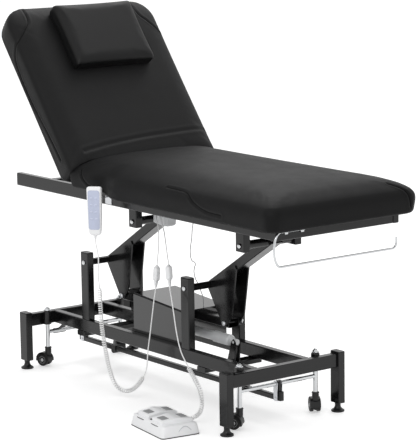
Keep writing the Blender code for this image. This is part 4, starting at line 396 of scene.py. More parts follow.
def arc(radius, degrees, centre):
    """Points of a flat arc about a centre at the given angles."""
    return [(centre[0] + radius * cos(radians(angle)),
             centre[1] + radius * sin(radians(angle))) for angle in degrees]


def block(size, radius, steps=3, lip=0.0008):
    """Plate or block about its own centre with rounded corners and softened rims."""
    half_x, half_y, half_z = (s / 2 for s in size)
    loops = []
    for inset, z in ((lip, -half_z), (0, -half_z + lip), (0, half_z - lip), (lip, half_z)):
        loops.append([(a, b, z) for a, b in rounded(half_x - inset, half_y - inset, radius, steps)])
    return loft(loops)


def merged(*bodies):
    bm = bmesh.new()
    for body in bodies:
        mesh = bpy.data.meshes.new("scratch")
        body.to_mesh(mesh)
        body.free()
        bm.from_mesh(mesh)
        bpy.data.meshes.remove(mesh)
    return bm


def placed(bm, matrix):
    bm.transform(matrix)
    return bm


def facing(point, direction):
    """Matrix that stands local Z along a direction at a point."""
    turn = Vector((0, 0, 1)).rotation_difference(Vector(direction)).to_matrix().to_4x4()
    return at(*point) @ turn


def round_edges(target, width, angle):
    rounding = target.modifiers.new("rounding", "BEVEL")
    rounding.width = width
    rounding.segments = 2
    rounding.limit_method = "ANGLE"
    rounding.angle_limit = radians(angle)


def piece(name, bm, look, body, sharp=35.0, bevel=0.0):
    """A shown piece from a body in table coordinates, riding on a CAD body."""
    bmesh.ops.recalc_face_normals(bm, faces=bm.faces)
    bm.transform(TO_ROW)
    mesh = bpy.data.meshes.new(name)
    bm.to_mesh(mesh)
    bm.free()
    mesh.shade_smooth()
    mesh.set_sharp_from_angle(angle=radians(sharp))
    mesh.materials.append(LOOKS[look])
    made = add_object(name, mesh)
    if bevel:
        round_edges(made, bevel, 35)
    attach(made, body)
    return made


def smooth_route(points, step):
    """Even points along a Catmull-Rom curve through the route."""
    ends = [Vector(points[0]) * 2 - Vector(points[1])] + [Vector(p) for p in points]
    ends.append(ends[-1] * 2 - ends[-2])
    fine = []
    for a, b, c, d in zip(ends, ends[1:], ends[2:], ends[3:]):
        for k in range(16):
            t = k / 16
            fine.append(0.5 * ((2 * b) + (c - a) * t + (2 * a - 5 * b + 4 * c - d) * t * t
                               + (3 * b - a - 3 * c + d) * t ** 3))
    fine.append(ends[-2])
    lengths = [0.0]
    for p, q in zip(fine, fine[1:]):
        lengths.append(lengths[-1] + (q - p).length)
    count = max(2, round(lengths[-1] / step))
    even = []
    index = 0
    for k in range(count + 1):
        goal = lengths[-1] * k / count
        while index < len(fine) - 2 and lengths[index + 1] < goal:
            index += 1
        share = (goal - lengths[index]) / (lengths[index + 1] - lengths[index])
        even.append(fine[index].lerp(fine[index + 1], share))
    return even, lengths[-1]


def carried_frames(points):
    """Tangent, normal and binormal at each point, carried along without twist."""
    tangents = []
    for i in range(len(points)):
        before = points[max(i - 1, 0)]
        after = points[min(i + 1, len(points) - 1)]
        tangents.append((after - before).normalized())
    seed = Vector((0, 0, 1)) if abs(tangents[0].z) < 0.9 else Vector((1, 0, 0))
    normal = (seed - tangents[0] * seed.dot(tangents[0])).normalized()
    frames = []
    for tangent in tangents:
        normal = (normal - tangent * normal.dot(tangent)).normalized()
        frames.append((tangent, normal, tangent.cross(normal)))
    return frames


def tube(points, radius, sides=8):
    ring = circle(radius, 0, sides)
    return loft([[point + normal * a + binormal * b for a, b, _ in ring]
                 for point, (_, normal, binormal) in zip(points, carried_frames(points))])


# Cords, leads and their plugs

def curled(route, span, step):
    """Straight ends and a wound middle stretch along the smooth route."""
    fine, length = smooth_route(route, step)
    start, end = length * span[0], length * span[1]
    curls = round((end - start) / CURL_PITCH)
    dense, _ = smooth_route(route, CURL_PITCH / 8)
    frames = carried_frames(dense)
    spacing = length / (len(dense) - 1)
    reached = [(k * length / (len(fine) - 1), point) for k, point in enumerate(fine)]
    points = [point for along, point in reached if along < start - step / 2]
    total = curls * POINTS_PER_CURL
    for k in range(total + 1):
        along = start + (end - start) * k / total
        place = along / spacing
        index = min(int(place), len(dense) - 2)
        centre = dense[index].lerp(dense[index + 1], place - index)
        _, normal, binormal = frames[index]
        turn = tau * k / POINTS_PER_CURL
        reach = CURL_RADIUS * min(1.0, k / POINTS_PER_CURL, (total - k) / POINTS_PER_CURL)
        points.append(centre + normal * (reach * cos(turn)) + binormal * (reach * sin(turn)))
    return points + [point for along, point in reached if along > end + step / 2]


def make_cord(name, points, radius, look, body, node, flatten=None):
    made = piece(name, tube(points, radius, 10), look, body)
    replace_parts(made, node)
    if flatten:
        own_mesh(made)


def make_plug(name, ends, node):
    """In-line connector: long rounded flat body, ribbed boot below, short neck above."""
    low, high = Vector(ends[0]), Vector(ends[1])
    length = (high - low).length
    boot, ribs = 0.026, 5
    ribbed = boot - 0.0035
    rise = ribbed / ribs
    stations = [(0.0034, 0.0034, 0.0), (0.0042, 0.0042, 0.0010)]
    for k in range(ribs):
        base = 0.0020 + ribbed * k / ribs
        swell = 0.0044 + 0.0028 * k / ribs
        stations += [(swell + 0.0004, swell + 0.0002, base + rise * 0.12),
                     (swell + 0.0006, swell + 0.0004, base + rise * 0.62),
                     (swell - 0.0004, swell - 0.0006, base + rise * 0.80)]
    stations += [(0.0086, 0.0076, boot - 0.001), (0.0108, 0.0093, boot + 0.0015),
                 (0.0121, 0.0102, boot + 0.005), (0.0125, 0.0106, boot + 0.009),
                 (0.0125, 0.0106, length * 0.58), (0.0120, 0.0101, length * 0.585),
                 (0.0120, 0.0101, length * 0.600), (0.0125, 0.0106, length * 0.605),
                 (0.0125, 0.0106, length - 0.016), (0.0116, 0.0099, length - 0.010),
                 (0.0094, 0.0082, length - 0.0065), (0.0062, 0.0060, length - 0.0050),
                 (0.0056, 0.0054, length - 0.0020), (0.0042, 0.0042, length)]
    loops = []
    for half_a, half_b, height in stations:
        loops.append([(a, b, height) for a, b in rounded(half_a, half_b, min(half_a, half_b) * 0.62, 5)])
    made = piece(name, placed(loft(loops), facing(low, high - low)), "white", "backrest_actuator", sharp=50)
    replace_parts(made, node)
    return made


def make_cords():
    handset_plug = make_plug("handset_inline_plug", HANDSET_PLUG, "handset_connector")
    pedal_plug = make_plug("foot_inline_plug", PEDAL_PLUG, "foot_control_connector")
    make_cord("handset_curly_cord", curled(HANDSET_ROUTE, HANDSET_CURLS, 0.009), CORD_RADIUS, "cord", "base",
              "handset_cord", (0.0, 0.58))
    make_cord("foot_curly_cord", curled(PEDAL_ROUTE[::-1], (1 - PEDAL_CURLS[1], 1 - PEDAL_CURLS[0]), 0.009),
              CORD_RADIUS, "cord", "base", "foot_control_cord", (0.0, 0.55))
    for name, route, node in (("handset_box_lead", HANDSET_LEAD, "handset_lead"),
                              ("foot_box_lead", PEDAL_LEAD, "foot_control_lead")):
        make_cord(name, smooth_route(route, 0.006)[0], LEAD_RADIUS, "cord", "backrest_actuator", node)
    make_cord("hood_cable", smooth_route(CABLE_ROUTE, 0.006)[0], CABLE_RADIUS, "cable", "base",
              "actuator_cable", flatten=(0.353, 0.38))


# Cushions: half length, half width and height, then the arguments of cushion_form

SEAT_SIZE = (0.6120, 0.3410, 0.120)
SEAT_FORM = {"corners": (0.030, 0.046), "wall": 0.050, "run": 0.215, "tight": 0.38, "rim": 0.010,
             "bulge": 0.005, "draw": 0.002, "square": 1.9}
BACK_SIZE = (0.3700, 0.3475, 0.121)
BACK_FORM = {"corners": (0.020, 0.088), "wall": 0.084, "run": 0.105, "tight": 0.30, "rim": 0.010,
             "bulge": 0.006, "draw": 0.002}
PILLOW_SIZE = (0.139, 0.184, 0.064)
PILLOW_FORM = {"corners": (0.010, 0.010), "wall": 0.040, "run": 0.042, "tight": 0.90, "rim": 0.006,
               "bulge": 0.002, "draw": 0.003}
CLOTH = {"quality": 4, "mass": 0.3, "tension_stiffness": 15, "compression_stiffness": 15,
         "shear_stiffness": 5, "bending_stiffness": 0.8, "use_pressure": True, "uniform_pressure_force": 4.0}
CLOTH_FRAMES = 20
EDGE_WIDTH = 0.014
GROOVE_WIDTH, FLANK_PLACE, FLANK_SHARE = 0.55, 1.3, 0.35


def cushion_outline(low, high, half_y, corners, draw, per_side=36, per_corner=9):
    """Rounded rectangle from low to high along X; its straight sides pull in between the corners."""
    arcs = []
    signs = ((high, 1, 1, 0), (low, -1, 1, 90), (low, -1, -1, 180), (high, 1, -1, 270))
    for end, sign_x, sign_y, first in signs:
        corner = corners[0] if sign_x < 0 else corners[1]
        centre = Vector((end - sign_x * corner, sign_y * (half_y - corner)))
        arcs.append([centre + corner * Vector((cos(radians(first + 90 * k / per_corner)),
                                               sin(radians(first + 90 * k / per_corner))))
                     for k in range(per_corner + 1)])
    points = []
    for index, bend in enumerate(arcs):
        points += bend
        target = arcs[(index + 1) % 4][0]
        turn = radians(signs[(index + 1) % 4][3])
        inward = -Vector((cos(turn), sin(turn)))
        for k in range(1, per_side):
            share = k / per_side
            pull = draw * (1 - (2 * share - 1) ** 2)
            points.append(bend[-1].lerp(target, share) + inward * pull)
    return points


def cushion_form(size, corners, wall, run, tight, rim, bulge, draw, square=2.5):
    """Flat underside, swelling wall and a crown that rises over a run; the -X end turns more tightly."""
    half_x, half_y, thickness = size
    loops = []

    def ring(inset, z, pull=0.0):
        radii = (corners[0] + max(inset, 0) * 0.55 * tight, corners[1] + max(inset, 0) * 0.55)
        outline = cushion_outline(-half_x + inset * tight, half_x - inset, half_y - inset, radii, pull)
        loops.append([(p.x, p.y, z) for p in outline])

    ring(rim + bulge, 0)
    for degrees in (25, 50, 75):
        turn = radians(degrees)
        ring(bulge + rim * (1 - sin(turn)), rim * (1 - cos(turn)))
    for share in (0.0, 0.25, 0.5, 0.75):
        ring(bulge * (1 - sin(radians(90 * share))), rim + (wall - rim) * share, draw)
    for step in range(13):
        share = (step / 12) ** 2
        rise = sqrt(1 - (1 - share) ** square)
        ring(run * share, wall + (thickness - wall) * rise, draw * (1 - share))
    bm = loft(loops, caps=False)
    bm.verts.ensure_lookup_table()
    count = len(loops[0])
    bm.faces.new([bm.verts[i] for i in reversed(range(count))])
    centre = bm.verts.new((0, 0, thickness))
    bm.verts.ensure_lookup_table()
    first = count * (len(loops) - 1)
    for i in range(count):
        bm.faces.new((bm.verts[first + i], bm.verts[first + (i + 1) % count], centre))
    return bm


def apply_modifier(target, kind, **settings):
    made = target.modifiers.new(kind.lower(), kind)
    for key, value in settings.items():
        setattr(made, key, value)
    graph = bpy.context.evaluated_depsgraph_get()
    mesh = bpy.data.meshes.new_from_object(target.evaluated_get(graph))
    target.modifiers.remove(made)
    old = target.data
    target.data = mesh
    bpy.data.meshes.remove(old)


def coordinates(mesh):
    co = np.empty(len(mesh.vertices) * 3)
    mesh.vertices.foreach_get("co", co)
    return co.reshape(-1, 3)


def set_coordinates(mesh, co):
    mesh.vertices.foreach_set("co", co.ravel())
    mesh.update()


def inflate(target, held, cap):
    """Swell the cover under pressure with its underside held, and cap how far a point may move."""
    before = coordinates(target.data)
    group = target.vertex_groups.new(name="held")
    group.add([int(i) for i in np.nonzero(before[:, 2] < held)[0]], 1.0, "REPLACE")
    cloth = target.modifiers.new("cloth", "CLOTH")
    for key, value in CLOTH.items():
        setattr(cloth.settings, key, value)
    cloth.settings.effector_weights.gravity = 0
    cloth.settings.vertex_group_mass = group.name
    cloth.point_cache.frame_start = 1
    cloth.point_cache.frame_end = CLOTH_FRAMES
    scene = bpy.context.scene
    for step in range(1, CLOTH_FRAMES + 1):
        scene.frame_set(step)
    graph = bpy.context.evaluated_depsgraph_get()
    after = coordinates(target.evaluated_get(graph).data)
    target.modifiers.remove(cloth)
    target.vertex_groups.clear()
    scene.frame_set(1)
    move = after - before
    distance = np.linalg.norm(move, axis=1, keepdims=True)
    distance[distance < 1e-9] = 1e-9
    capped = cap * np.tanh(distance / cap)
    set_coordinates(target.data, before + move / distance * capped)


def fit_to(made, size):
    """Stretch the swollen cover back to its full width, length and height."""
    co = coordinates(made.data)
    low, high = co.min(axis=0), co.max(axis=0)
    low[2] = 0.0
    goal_low = np.array((-size[0], -size[1], 0.0))
    goal_high = np.array(size)
    set_coordinates(made.data, goal_low + (co - low) / (high - low) * (goal_high - goal_low))


def eased(share):
    share = np.clip(share, 0, 1)
    return share ** 2 * (3 - 2 * share)


def hang_over(made, side, end, start, depth, reach):
    """Let the cover's lower edge hang past the outer faces of the rails and the foot beam."""
    co = coordinates(made.data)
    local = co - np.array(SHIFT)
    past = np.maximum(eased((np.abs(local[:, 1]) - side) / EDGE_WIDTH),
                      eased((local[:, 0] - end) / EDGE_WIDTH))
    low = np.clip(1 - (local[:, 2] - SEAT_FRAME.translation.z) / reach, 0, 1)
    co[:, 2] -= depth * past * eased((local[:, 0] - start) / 0.060) * low
    set_coordinates(made.data, co)


def dent_behind_handset(made, centre, width, depth):
    """The near side gives way where the handset hangs and slides up."""
    co = coordinates(made.data)
    local = co - np.array(SHIFT)
    near = np.clip((-0.200 - local[:, 1]) / 0.120, 0, 1)
    co[:, 1] += depth * np.exp(-((local[:, 0] - centre) / width) ** 2) * near
    set_coordinates(made.data, co)


def make_cushion(name, look, node, place, size, form, voxel, cap):
    """Cushion grown by cloth pressure and drawn out to its measured size."""
    bm = cushion_form(size, **form)
    mesh = bpy.data.meshes.new(name)
    bmesh.ops.recalc_face_normals(bm, faces=bm.faces)
    bm.to_mesh(mesh)
    bm.free()
    made = add_object(name, mesh)
    apply_modifier(made, "REMESH", mode="VOXEL", voxel_size=voxel)
    apply_modifier(made, "SMOOTH", factor=0.5, iterations=3)
    inflate(made, form["rim"] * 0.6, cap)
    apply_modifier(made, "SMOOTH", factor=0.4, iterations=2)
    apply_modifier(made, "SUBSURF", levels=1)
    fit_to(made, size)
    made.data.transform(TO_ROW @ place)
    made.data.update()
    made.data.materials.clear()
    made.data.materials.append(LOOKS[look])
    made.data.shade_smooth()
    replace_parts(made, node)
    return made


def surface_tree(mesh):
    return BVHTree.FromPolygons([v.co for v in mesh.vertices], [tuple(p.vertices) for p in mesh.polygons])


def surface_run(made, points, step=0.004):
    """Points of a smooth run laid on the cushion's surface, with the surface normal."""
    tree = surface_tree(made.data)
    run = []
    for point in smooth_route([Vector(p) + SHIFT for p in points], step)[0]:
        place, normal, _, _ = tree.find_nearest(point)
        run.append((place, normal))
    return run


def press_lines(made, runs, depth, width):
    """Press seam grooves with softly raised flanks into the cover."""
    samples = [place for run in runs for place, _ in run]
    tree = KDTree(len(samples))
    for index, place in enumerate(samples):
        tree.insert(place, index)
    tree.balance()
    made.data.update()
    for vert in made.data.vertices:
        _, _, distance = tree.find(vert.co)
        if distance > width * 3:
            continue
        share = distance / width
        groove = -depth * exp(-(share / GROOVE_WIDTH) ** 2)
        flank = depth * FLANK_SHARE * exp(-((share - FLANK_PLACE) / GROOVE_WIDTH) ** 2)
        vert.co += vert.normal * (groove + flank)
    made.data.update()


def seam_thread(name, runs, sink, body):
    """Sewn line in the groove."""
    threads = [tube([place - normal * sink - SHIFT for place, normal in run], 0.0009, 6) for run in runs]
    piece(name, merged(*threads), "thread", body)


def on_backrest(points):
    """Table coordinates of points given up the backrest, sideways and out of its face."""
    return [tuple(BACKREST_FRAME @ Vector((up, -side, out))) for up, side, out in points]


def mirrored(points):
    return [(x, -y, z) for x, y, z in points]


def make_cushions():
    seat = make_cushion("seat_cushion", "seat_leather", "seat_pad", SEAT_FRAME, SEAT_SIZE, SEAT_FORM,
                        0.008, 0.005)
    hang_over(seat, 0.2825, 0.9655, -0.030, 0.018, 0.070)
    dent_behind_handset(seat, 0.004, 0.050, 0.017)
    back = make_cushion("backrest_cushion", "leather", "backrest_pad", BACK_PAD_FRAME, BACK_SIZE, BACK_FORM,
                        0.008, 0.004)
    head = make_cushion("head_pillow", "pillow", "pillow", PILLOW_FRAME, PILLOW_SIZE, PILLOW_FORM,
                        0.0045, 0.0014)

    near = [(0.392, 0.884), (0.452, 0.882), (0.511, 0.872), (0.568, 0.839), (0.640, 0.817), (0.725, 0.813)]
    corner = [(-0.157, 0.885), (-0.133, 0.855), (-0.101, 0.830), (-0.068, 0.813)]
    seat_lines = [[(x, -0.322, z) for x, z in near], [(x, -0.322, z) for x, z in corner]]
    foot = [(0.955, 0.240, 0.905), (0.975, 0.262, 0.890), (0.990, 0.285, 0.865), (0.992, 0.300, 0.835),
            (0.985, 0.305, 0.810)]
    seat_lines += [mirrored(line) for line in seat_lines] + [foot]
    back_line = [(0.715, -0.250, 0.100), (0.650, -0.261, 0.122), (0.611, -0.289, 0.115),
                 (0.569, -0.322, 0.092), (0.527, -0.325, 0.049), (0.433, -0.325, 0.033),
                 (0.328, -0.325, 0.036), (0.234, -0.325, 0.048), (0.154, -0.325, 0.058),
                 (0.058, -0.325, 0.067)]
    back_near = on_backrest(back_line)
    back_lines = [back_near, mirrored(back_near)]
    # A thin dark tube laid along the seat fold is painted contact shadow where the backrest meets the seat.
    fold = surface_run(seat, [(-0.205, -0.318, 0.885), (-0.190, -0.300, 0.905), (-0.187, -0.200, 0.915),
                              (-0.187, 0.000, 0.918), (-0.187, 0.200, 0.915), (-0.187, 0.335, 0.905)])
    points = [place + normal * 0.0005 - SHIFT for place, normal in fold]
    piece("seat_fold_painted_shadow", tube(points, 0.0032, 10), "thread", "top_frame")
    crease = surface_run(back, on_backrest([
        (0.052, -0.260, 0.131), (0.070, -0.140, 0.131), (0.084, 0.020, 0.131), (0.090, 0.180, 0.131),
        (0.094, 0.345, 0.131)]))
    press_lines(back, [crease], 0.0022, 0.0120)
    for made, lines, body, label in ((seat, seat_lines, "top_frame", "seat_seams"),
                                     (back, back_lines, "backrest", "backrest_seams")):
        runs = [surface_run(made, line) for line in lines]
        press_lines(made, runs, 0.0026, 0.0080)
        seam_thread(label, runs, 0.0017, body)
    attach(seat, "top_frame")
    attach(back, "backrest")
    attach(head, "pillow")


# Carried-over steel, chrome and plastic

STEEL_NODES = [kind + end for end, _ in ENDS for kind in ("base_end_", "base_tie_", "lift_arm_")]
STEEL_NODES += [kind + flank for flank, _ in FLANKS for kind in ("base_rail_", "top_rail_")]
STEEL_NODES += ["upright_%s_%s" % (flank, end) for flank, _ in FLANKS for end, _ in ENDS]
STEEL_NODES += ["top_crossmember_" + place for place in ("head", "foot", "hinge", "mid")]
STEEL_NODES += ["lift_link_beam", "top_crossbar_head", "top_beam_foot", "backrest_frame", "castor_link_bar",
                "castor_pedal"]


def dress(name, look, width):
    node = NODES[name]
    for slot in node.material_slots:
        slot.link = "OBJECT"
        slot.material = LOOKS[look]
    join = node.modifiers.new("join", "WELD")
    join.merge_threshold = 0.00001
    round_edges(node, width, 40)
    even = node.modifiers.new("even", "WEIGHTED_NORMAL")
    even.keep_sharp = False
    even.weight = 80


def dress_frame():
    for name in STEEL_NODES:
        dress(name, "steel", 0.0012)
    for name, look, width in (
            ("mechanism_cover", "cover", 0.0004), ("handset_hook", "zinc", 0.0003),
            ("lift_actuator", "light_grey", 0.0008), ("backrest_actuator", "light_grey", 0.0012),
            ("lift_actuator_rod", "rod", 0.0004), ("backrest_actuator_rod", "rod", 0.0004),
            ("castor_yoke_head", "chrome", 0.0004), ("castor_yoke_foot", "chrome", 0.0004)):
        dress(name, look, width)


def top_of(node, x, y):
    """Height of a CAD node's upper face at a point, in table coordinates."""
    return surface_tree(NODES[node].data).ray_cast(Vector((x, y, 2)) + SHIFT, Vector((0, 0, -1)))[0].z


def pivot_cap(name, place, side, body, look="chrome", radius=0.0092, height=0.0075):
    """Domed cap that faces sideways."""
    profile = [(radius, 0.0004), (radius, height * 0.35)]
    for k in range(1, 7):
        turn = radians(90 * k / 6.5)
        profile.append((radius * cos(turn), height * (0.35 + 0.65 * sin(turn))))
    piece(name, placed(turned(profile, 28), facing(place, (0, side, 0))), look, body, sharp=60)


def hexagon(radius, rims):
    """Six-sided prism through rims of (scale, height)."""
    return loft([circle(radius * scale, z, 6) for scale, z in rims])


def hex_nut(radius, height, washer):
    """Washer, chamfered hexagon and domed stud end."""
    ring = turned([(washer * 0.96, 0), (washer, 0.0003), (washer, 0.0012), (washer * 0.95, 0.0016)], 28)
    stud = turned([(radius * 0.62, height), (radius * 0.62, height + 0.002), (radius * 0.5, height + 0.0036),
                   (radius * 0.25, height + 0.0048), (radius * 0.06, height + 0.0052)], 20)
    nut = hexagon(radius, ((0.94, 0.0016), (1.0, 0.0022), (1.0, height - 0.0008), (0.92, height)))
    return merged(ring, nut, stud)


def tube_plug(name, width, place, body):
    plug = block((0.0494, width, 0.003), 0.0035, lip=0.001)
    piece(name, placed(plug, place), "black_plastic", body)


def make_fasteners():
    for end, _ in ENDS:
        for flank, side in FLANKS:
            where = "%s_%s" % (end, flank)
            pivot_cap("cap_low_" + where, (UPRIGHT_X[end], side * ARM_FACE_Y, 0.452), side, "lift_arm_" + end)
            pivot_cap("cap_high_" + where, (ARM_TOP_X[end], side * ARM_FACE_Y, 0.66073), side,
                      "lift_arm_" + end)
            pivot_cap("cap_link_" + where, (LINK_PIN_X[end], LINK_PIN_Y + side * LINK_HALF_WIDTH, LINK_PIN_Z),
                      side, "lift_link", "zinc")
    nut_place = (LINK_PIN_X["foot"], LINK_PIN_Y + LINK_HALF_WIDTH + 0.0088, LINK_PIN_Z)
    piece("link_pin_nut", placed(hex_nut(0.0105, 0.010, 0.015), facing(nut_place, (0, 1, 0))), "chrome",
          "lift_link")
    for end, way in ENDS:
        for flank, side in FLANKS:
            where = "%s_%s" % (end, flank)
            x, y = way * CASTOR_X, side * CASTOR_Y
            height = top_of("base_end_" + end, x, y)
            piece("sleeve_nut_" + where, placed(hex_nut(0.0100, 0.0085, 0.0145), at(x, y, height + 0.0003)),
                  "chrome", "base")
            tube_plug("leg_plug_" + where, 0.0294, at(way * LEG_X, side * LEG_Y, 0.2287), "base")
            tube_plug("upright_plug_" + where, 0.0294, at(UPRIGHT_X[end], side * 0.119, 0.4918), "base")
            rail_end = (RAIL_END_X[end] + way * 0.0018, side * 0.2675, 0.773733)
            tube_plug("rail_plug_" + where, 0.0244, facing(rail_end, (way, 0, 0)), "top_frame")


def make_roll_bar():
    """Chrome rod with rounded ends, its clips and their screws."""
    top, low = 0.780733, 0.660733
    middle, bend = (top + low) / 2, (top - low) / 2
    line = [(-0.160, top), (-0.205, top), (-0.250, top)]
    for k in range(25):
        turn = pi * k / 24
        line.append((-0.265 - bend * sin(turn) / 2, middle + bend * cos(turn)))
    line += [(-0.265 + 0.507 * k / 10, low) for k in range(1, 10)]
    for k in range(9):
        turn = radians(90 * k / 8)
        line.append((0.242 + 0.020 * sin(turn), low + 0.020 * (1 - cos(turn))))
    line += [(0.262, low + 0.030), (0.262, low + 0.040)]
    rod = tube([Vector((0.973, y, z)) for y, z in line], 0.0040, 16)
    clips = []
    for y in (-0.167, -0.238):
        clips.append(placed(block((0.0092, 0.014, 0.020), 0.0016), at(0.9679, y, top)))
        screw = turned([(0.0034, 0), (0.0034, 0.0012), (0.0022, 0.0020), (0.0004, 0.0022)], 16)
        clips.append(placed(screw, facing((0.9725, y, top + 0.0068), (1, 0, 0))))
    made = piece("chrome_roll_bar", merged(rod, *clips), "chrome", "top_frame")
    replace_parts(made, "paper_roll_bar")


# Castors and levelling feet

# Corner, its way along X and across Y, and where its castor trails
CORNERS = (("near_head", -1, -1, 200.0), ("far_head", -1, 1, 160.0), ("near_foot", 1, -1, 215.0),
           ("far_foot", 1, 1, 150.0))


def castor_fork():
    """Hood over the twin wheels, web between them, swivel collar and a small brake tab behind."""
    centre = (WHEEL_X, WHEEL_Z)
    inner, outer = [arc(radius, range(-12, 196, 8), centre) for radius in (0.0288, 0.0312)]
    hood = [[(a[0], -0.0198, a[1]), (b[0], -0.0184, b[1]), (b[0], 0.0184, b[1]), (a[0], 0.0198, a[1])]
            for a, b in zip(inner, outer)]
    web = [[(x, half, z) for x, z in arc(0.0295 - inset, range(-30, 211, 12), centre)]
           for half, inset in ((-0.0052, 0.0007), (-0.0044, 0.0), (0.0044, 0.0), (0.0052, 0.0007))]
    collar = turned([(0.0120, 0.050), (0.0130, 0.058), (0.0130, 0.074), (0.0122, 0.0765), (0.0142, 0.0775),
                     (0.0142, 0.0805), (0.0130, 0.082), (0.0095, 0.082)], 28)
    tab = placed(block((0.016, 0.022, 0.0035), 0.004), at(0.049, 0, 0.038) @ spun("Y", 28))
    return merged(loft(hood), loft(web), collar, tab)


def on_both_sides(profile, sides):
    """The same turned body on both ends of a castor's axle."""
    return [placed(turned(profile, sides), facing((WHEEL_X, 0, WHEEL_Z), (0, side, 0))) for side in (-1, 1)]


def castor_wheels():
    """Two tyres on one axle: rounded tread and a shallow step inside."""
    return merged(*on_both_sides([
        (0.0158, 0.0066), (0.0238, 0.0066), (0.0250, 0.0082), (0.0250, 0.0172), (0.0243, 0.0192),
        (0.0225, 0.0202), (0.0182, 0.0202), (0.0168, 0.0192), (0.0158, 0.0192)], 40))


def castor_hubs():
    """Dished hubs in both wheels and the axle between them."""
    hubs = on_both_sides([
        (0.0157, 0.0068), (0.0157, 0.0184), (0.0140, 0.0194), (0.0118, 0.0182), (0.0072, 0.0180),
        (0.0064, 0.0200), (0.0042, 0.0208), (0.0008, 0.0210)], 32)
    axle = turned([(0.0038, -0.0070), (0.0038, 0.0070)], 16)
    return merged(*hubs, placed(axle, facing((WHEEL_X, 0, WHEEL_Z), (0, 1, 0))))


def levelling_foot():
    """Domed glide pad with its neck, and the locking nut above."""
    pad = turned([
        (0.0235, 0.0), (0.0250, 0.0012), (0.0250, 0.0050), (0.0242, 0.0066), (0.0205, 0.0085),
        (0.0150, 0.0125), (0.0118, 0.0180), (0.0108, 0.0235), (0.0108, 0.0262), (0.0085, 0.0268)], 40)
    return pad, hexagon(0.0112, ((0.93, 0.0268), (1.0, 0.0276), (1.0, 0.0338), (0.93, 0.0346)))


def make_running_gear():
    for corner, side_x, side_y, heading in CORNERS:
        swivel, wheel, foot = [kind + corner for kind in ("castor_body_", "castor_wheel_", "levelling_foot_")]
        here = at(side_x * CASTOR_X, side_y * CASTOR_Y) @ spun("Z", heading)
        fork = placed(castor_fork(), here)
        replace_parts(piece("castor_hood_" + corner, fork, "black_plastic", swivel, bevel=0.0004), swivel)
        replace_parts(piece("castor_tyres_" + corner, placed(castor_wheels(), here), "rubber", wheel), wheel)
        piece("castor_hubs_" + corner, placed(castor_hubs(), here), "hub", wheel)
        here = at(side_x * LEG_X, side_y * LEG_Y)
        pad, nut = levelling_foot()
        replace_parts(piece("glide_" + corner, placed(pad, here), "black_plastic", foot), foot)
        piece("glide_nut_" + corner, placed(nut, here), "black_plastic", foot)
    for end, way in ENDS:
        x = way * CASTOR_X
        straps = [placed(link_strap(), at(x, side * 0.0111)) for side in (-1, 1)]
        screws = [placed(turned([(0.0044, 0), (0.0044, 0.0016), (0.0030, 0.0026), (0.0006, 0.0028)], 16),
                         facing((x, side * 0.0119, 0.090), (0, side, 0))) for side in (-1, 1)]
        piece("link_straps_" + end, merged(*straps, *screws), "zinc", "castor_frame")
        stop = placed(block((0.0100, 0.0190, 0.034), 0.0045), at(x + way * 0.0203, 0, 0.0985))
        piece("link_bar_plug_" + end, stop, "black_plastic", "castor_frame")
    guide = [(0.0135 * cos(radians(angle)), 0.0795 - 0.0105 * sin(radians(angle)))
             for angle in range(0, 181, 15)]
    guide = [(0.0135, 0.1010)] + guide + [(-0.0135, 0.1010)]
    rows = [[(-0.403 + a, y, z) for a, z in guide] for y in (-0.0128, -0.0118, 0.0118, 0.0128)]
    piece("link_bar_guide", loft(rows), "black_plastic", "castor_frame")


def link_strap():
    """Flat strap that hangs the link bar from a cross bar."""
    outline = [(-0.0105, 0.0790), (0.0105, 0.0790)] + arc(0.0125, range(-20, 201, 20), (0.0, 0.143))
    return loft([[(a, y, z) for a, z in outline] for y in (-0.0008, 0.0008)])


# Handset

HANDSET_LENGTH = 0.183


def handset_face(along):
    """Half the handset's depth at a share of its length."""
    return (0.024 + (0.020 - 0.024) * along) / 2


def make_handset():
    stations = ((0.0, 0.74), (0.004, 0.84), (0.012, 0.92), (0.025, 0.97), (0.045, 1.0), (0.30, 1.0),
                (0.55, 1.0), (0.72, 0.99), (0.84, 0.97), (0.91, 0.93), (0.955, 0.86), (0.98, 0.74),
                (0.993, 0.58), (1.0, 0.42))
    loops = []
    for along, swell in stations:
        width = 0.058 + (0.053 - 0.058) * along
        outline = rounded(width / 2 * swell, handset_face(along) * swell, 0.0088 * swell, 6)
        loops.append([(a, b, -HANDSET_LENGTH * along) for a, b in outline])
    relief = turned([(0.0038, -0.197), (0.0042, -0.1962), (0.0040, -0.1945), (0.0048, -0.1935),
                     (0.0045, -0.1915), (0.0053, -0.1905), (0.0050, -0.1885), (0.0058, -0.1875),
                     (0.0056, -0.1855), (0.0066, -0.1845), (0.0070, -0.1815)], 24)
    hanger = placed(block((0.018, 0.013, 0.014), 0.003), at(0, 0.0175, -0.038))
    shell = placed(merged(loft(loops), relief, hanger), HANDSET_FRAME)
    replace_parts(piece("handset_shell", shell, "white", "handset", sharp=40), "handset")
    panel = []
    for lift, inset in ((0.0, 0.0), (0.0007, 0.0), (0.0010, 0.0006)):
        ring = []
        for a, b in rounded(0.0228 - inset, 0.074 - inset, 0.009, 5):
            z = -0.086 + b
            along = -z / HANDSET_LENGTH
            face = handset_face(along) * (1.0 if along < 0.6 else 1.0 - 0.09 * (along - 0.6))
            ring.append((a * (1 - 0.08 * along), -face - 0.0002 - lift, z))
        panel.append(ring)
    piece("handset_inset", placed(loft(panel), HANDSET_FRAME), "pale_blue", "handset", sharp=50)
    keys = []
    for row in range(4):
        for column in (-1, 1):
            z = -0.040 - 0.026 * row
            place = (column * 0.0088, -handset_face(-z / HANDSET_LENGTH) - 0.0016, z)
            key = block((0.0105, 0.0068, 0.0016), 0.0030, lip=0.0004)
            keys.append(placed(key, facing(place, (0, -1, 0))))
    piece("handset_keys", placed(merged(*keys), HANDSET_FRAME), "key", "handset", sharp=50)


# Foot control

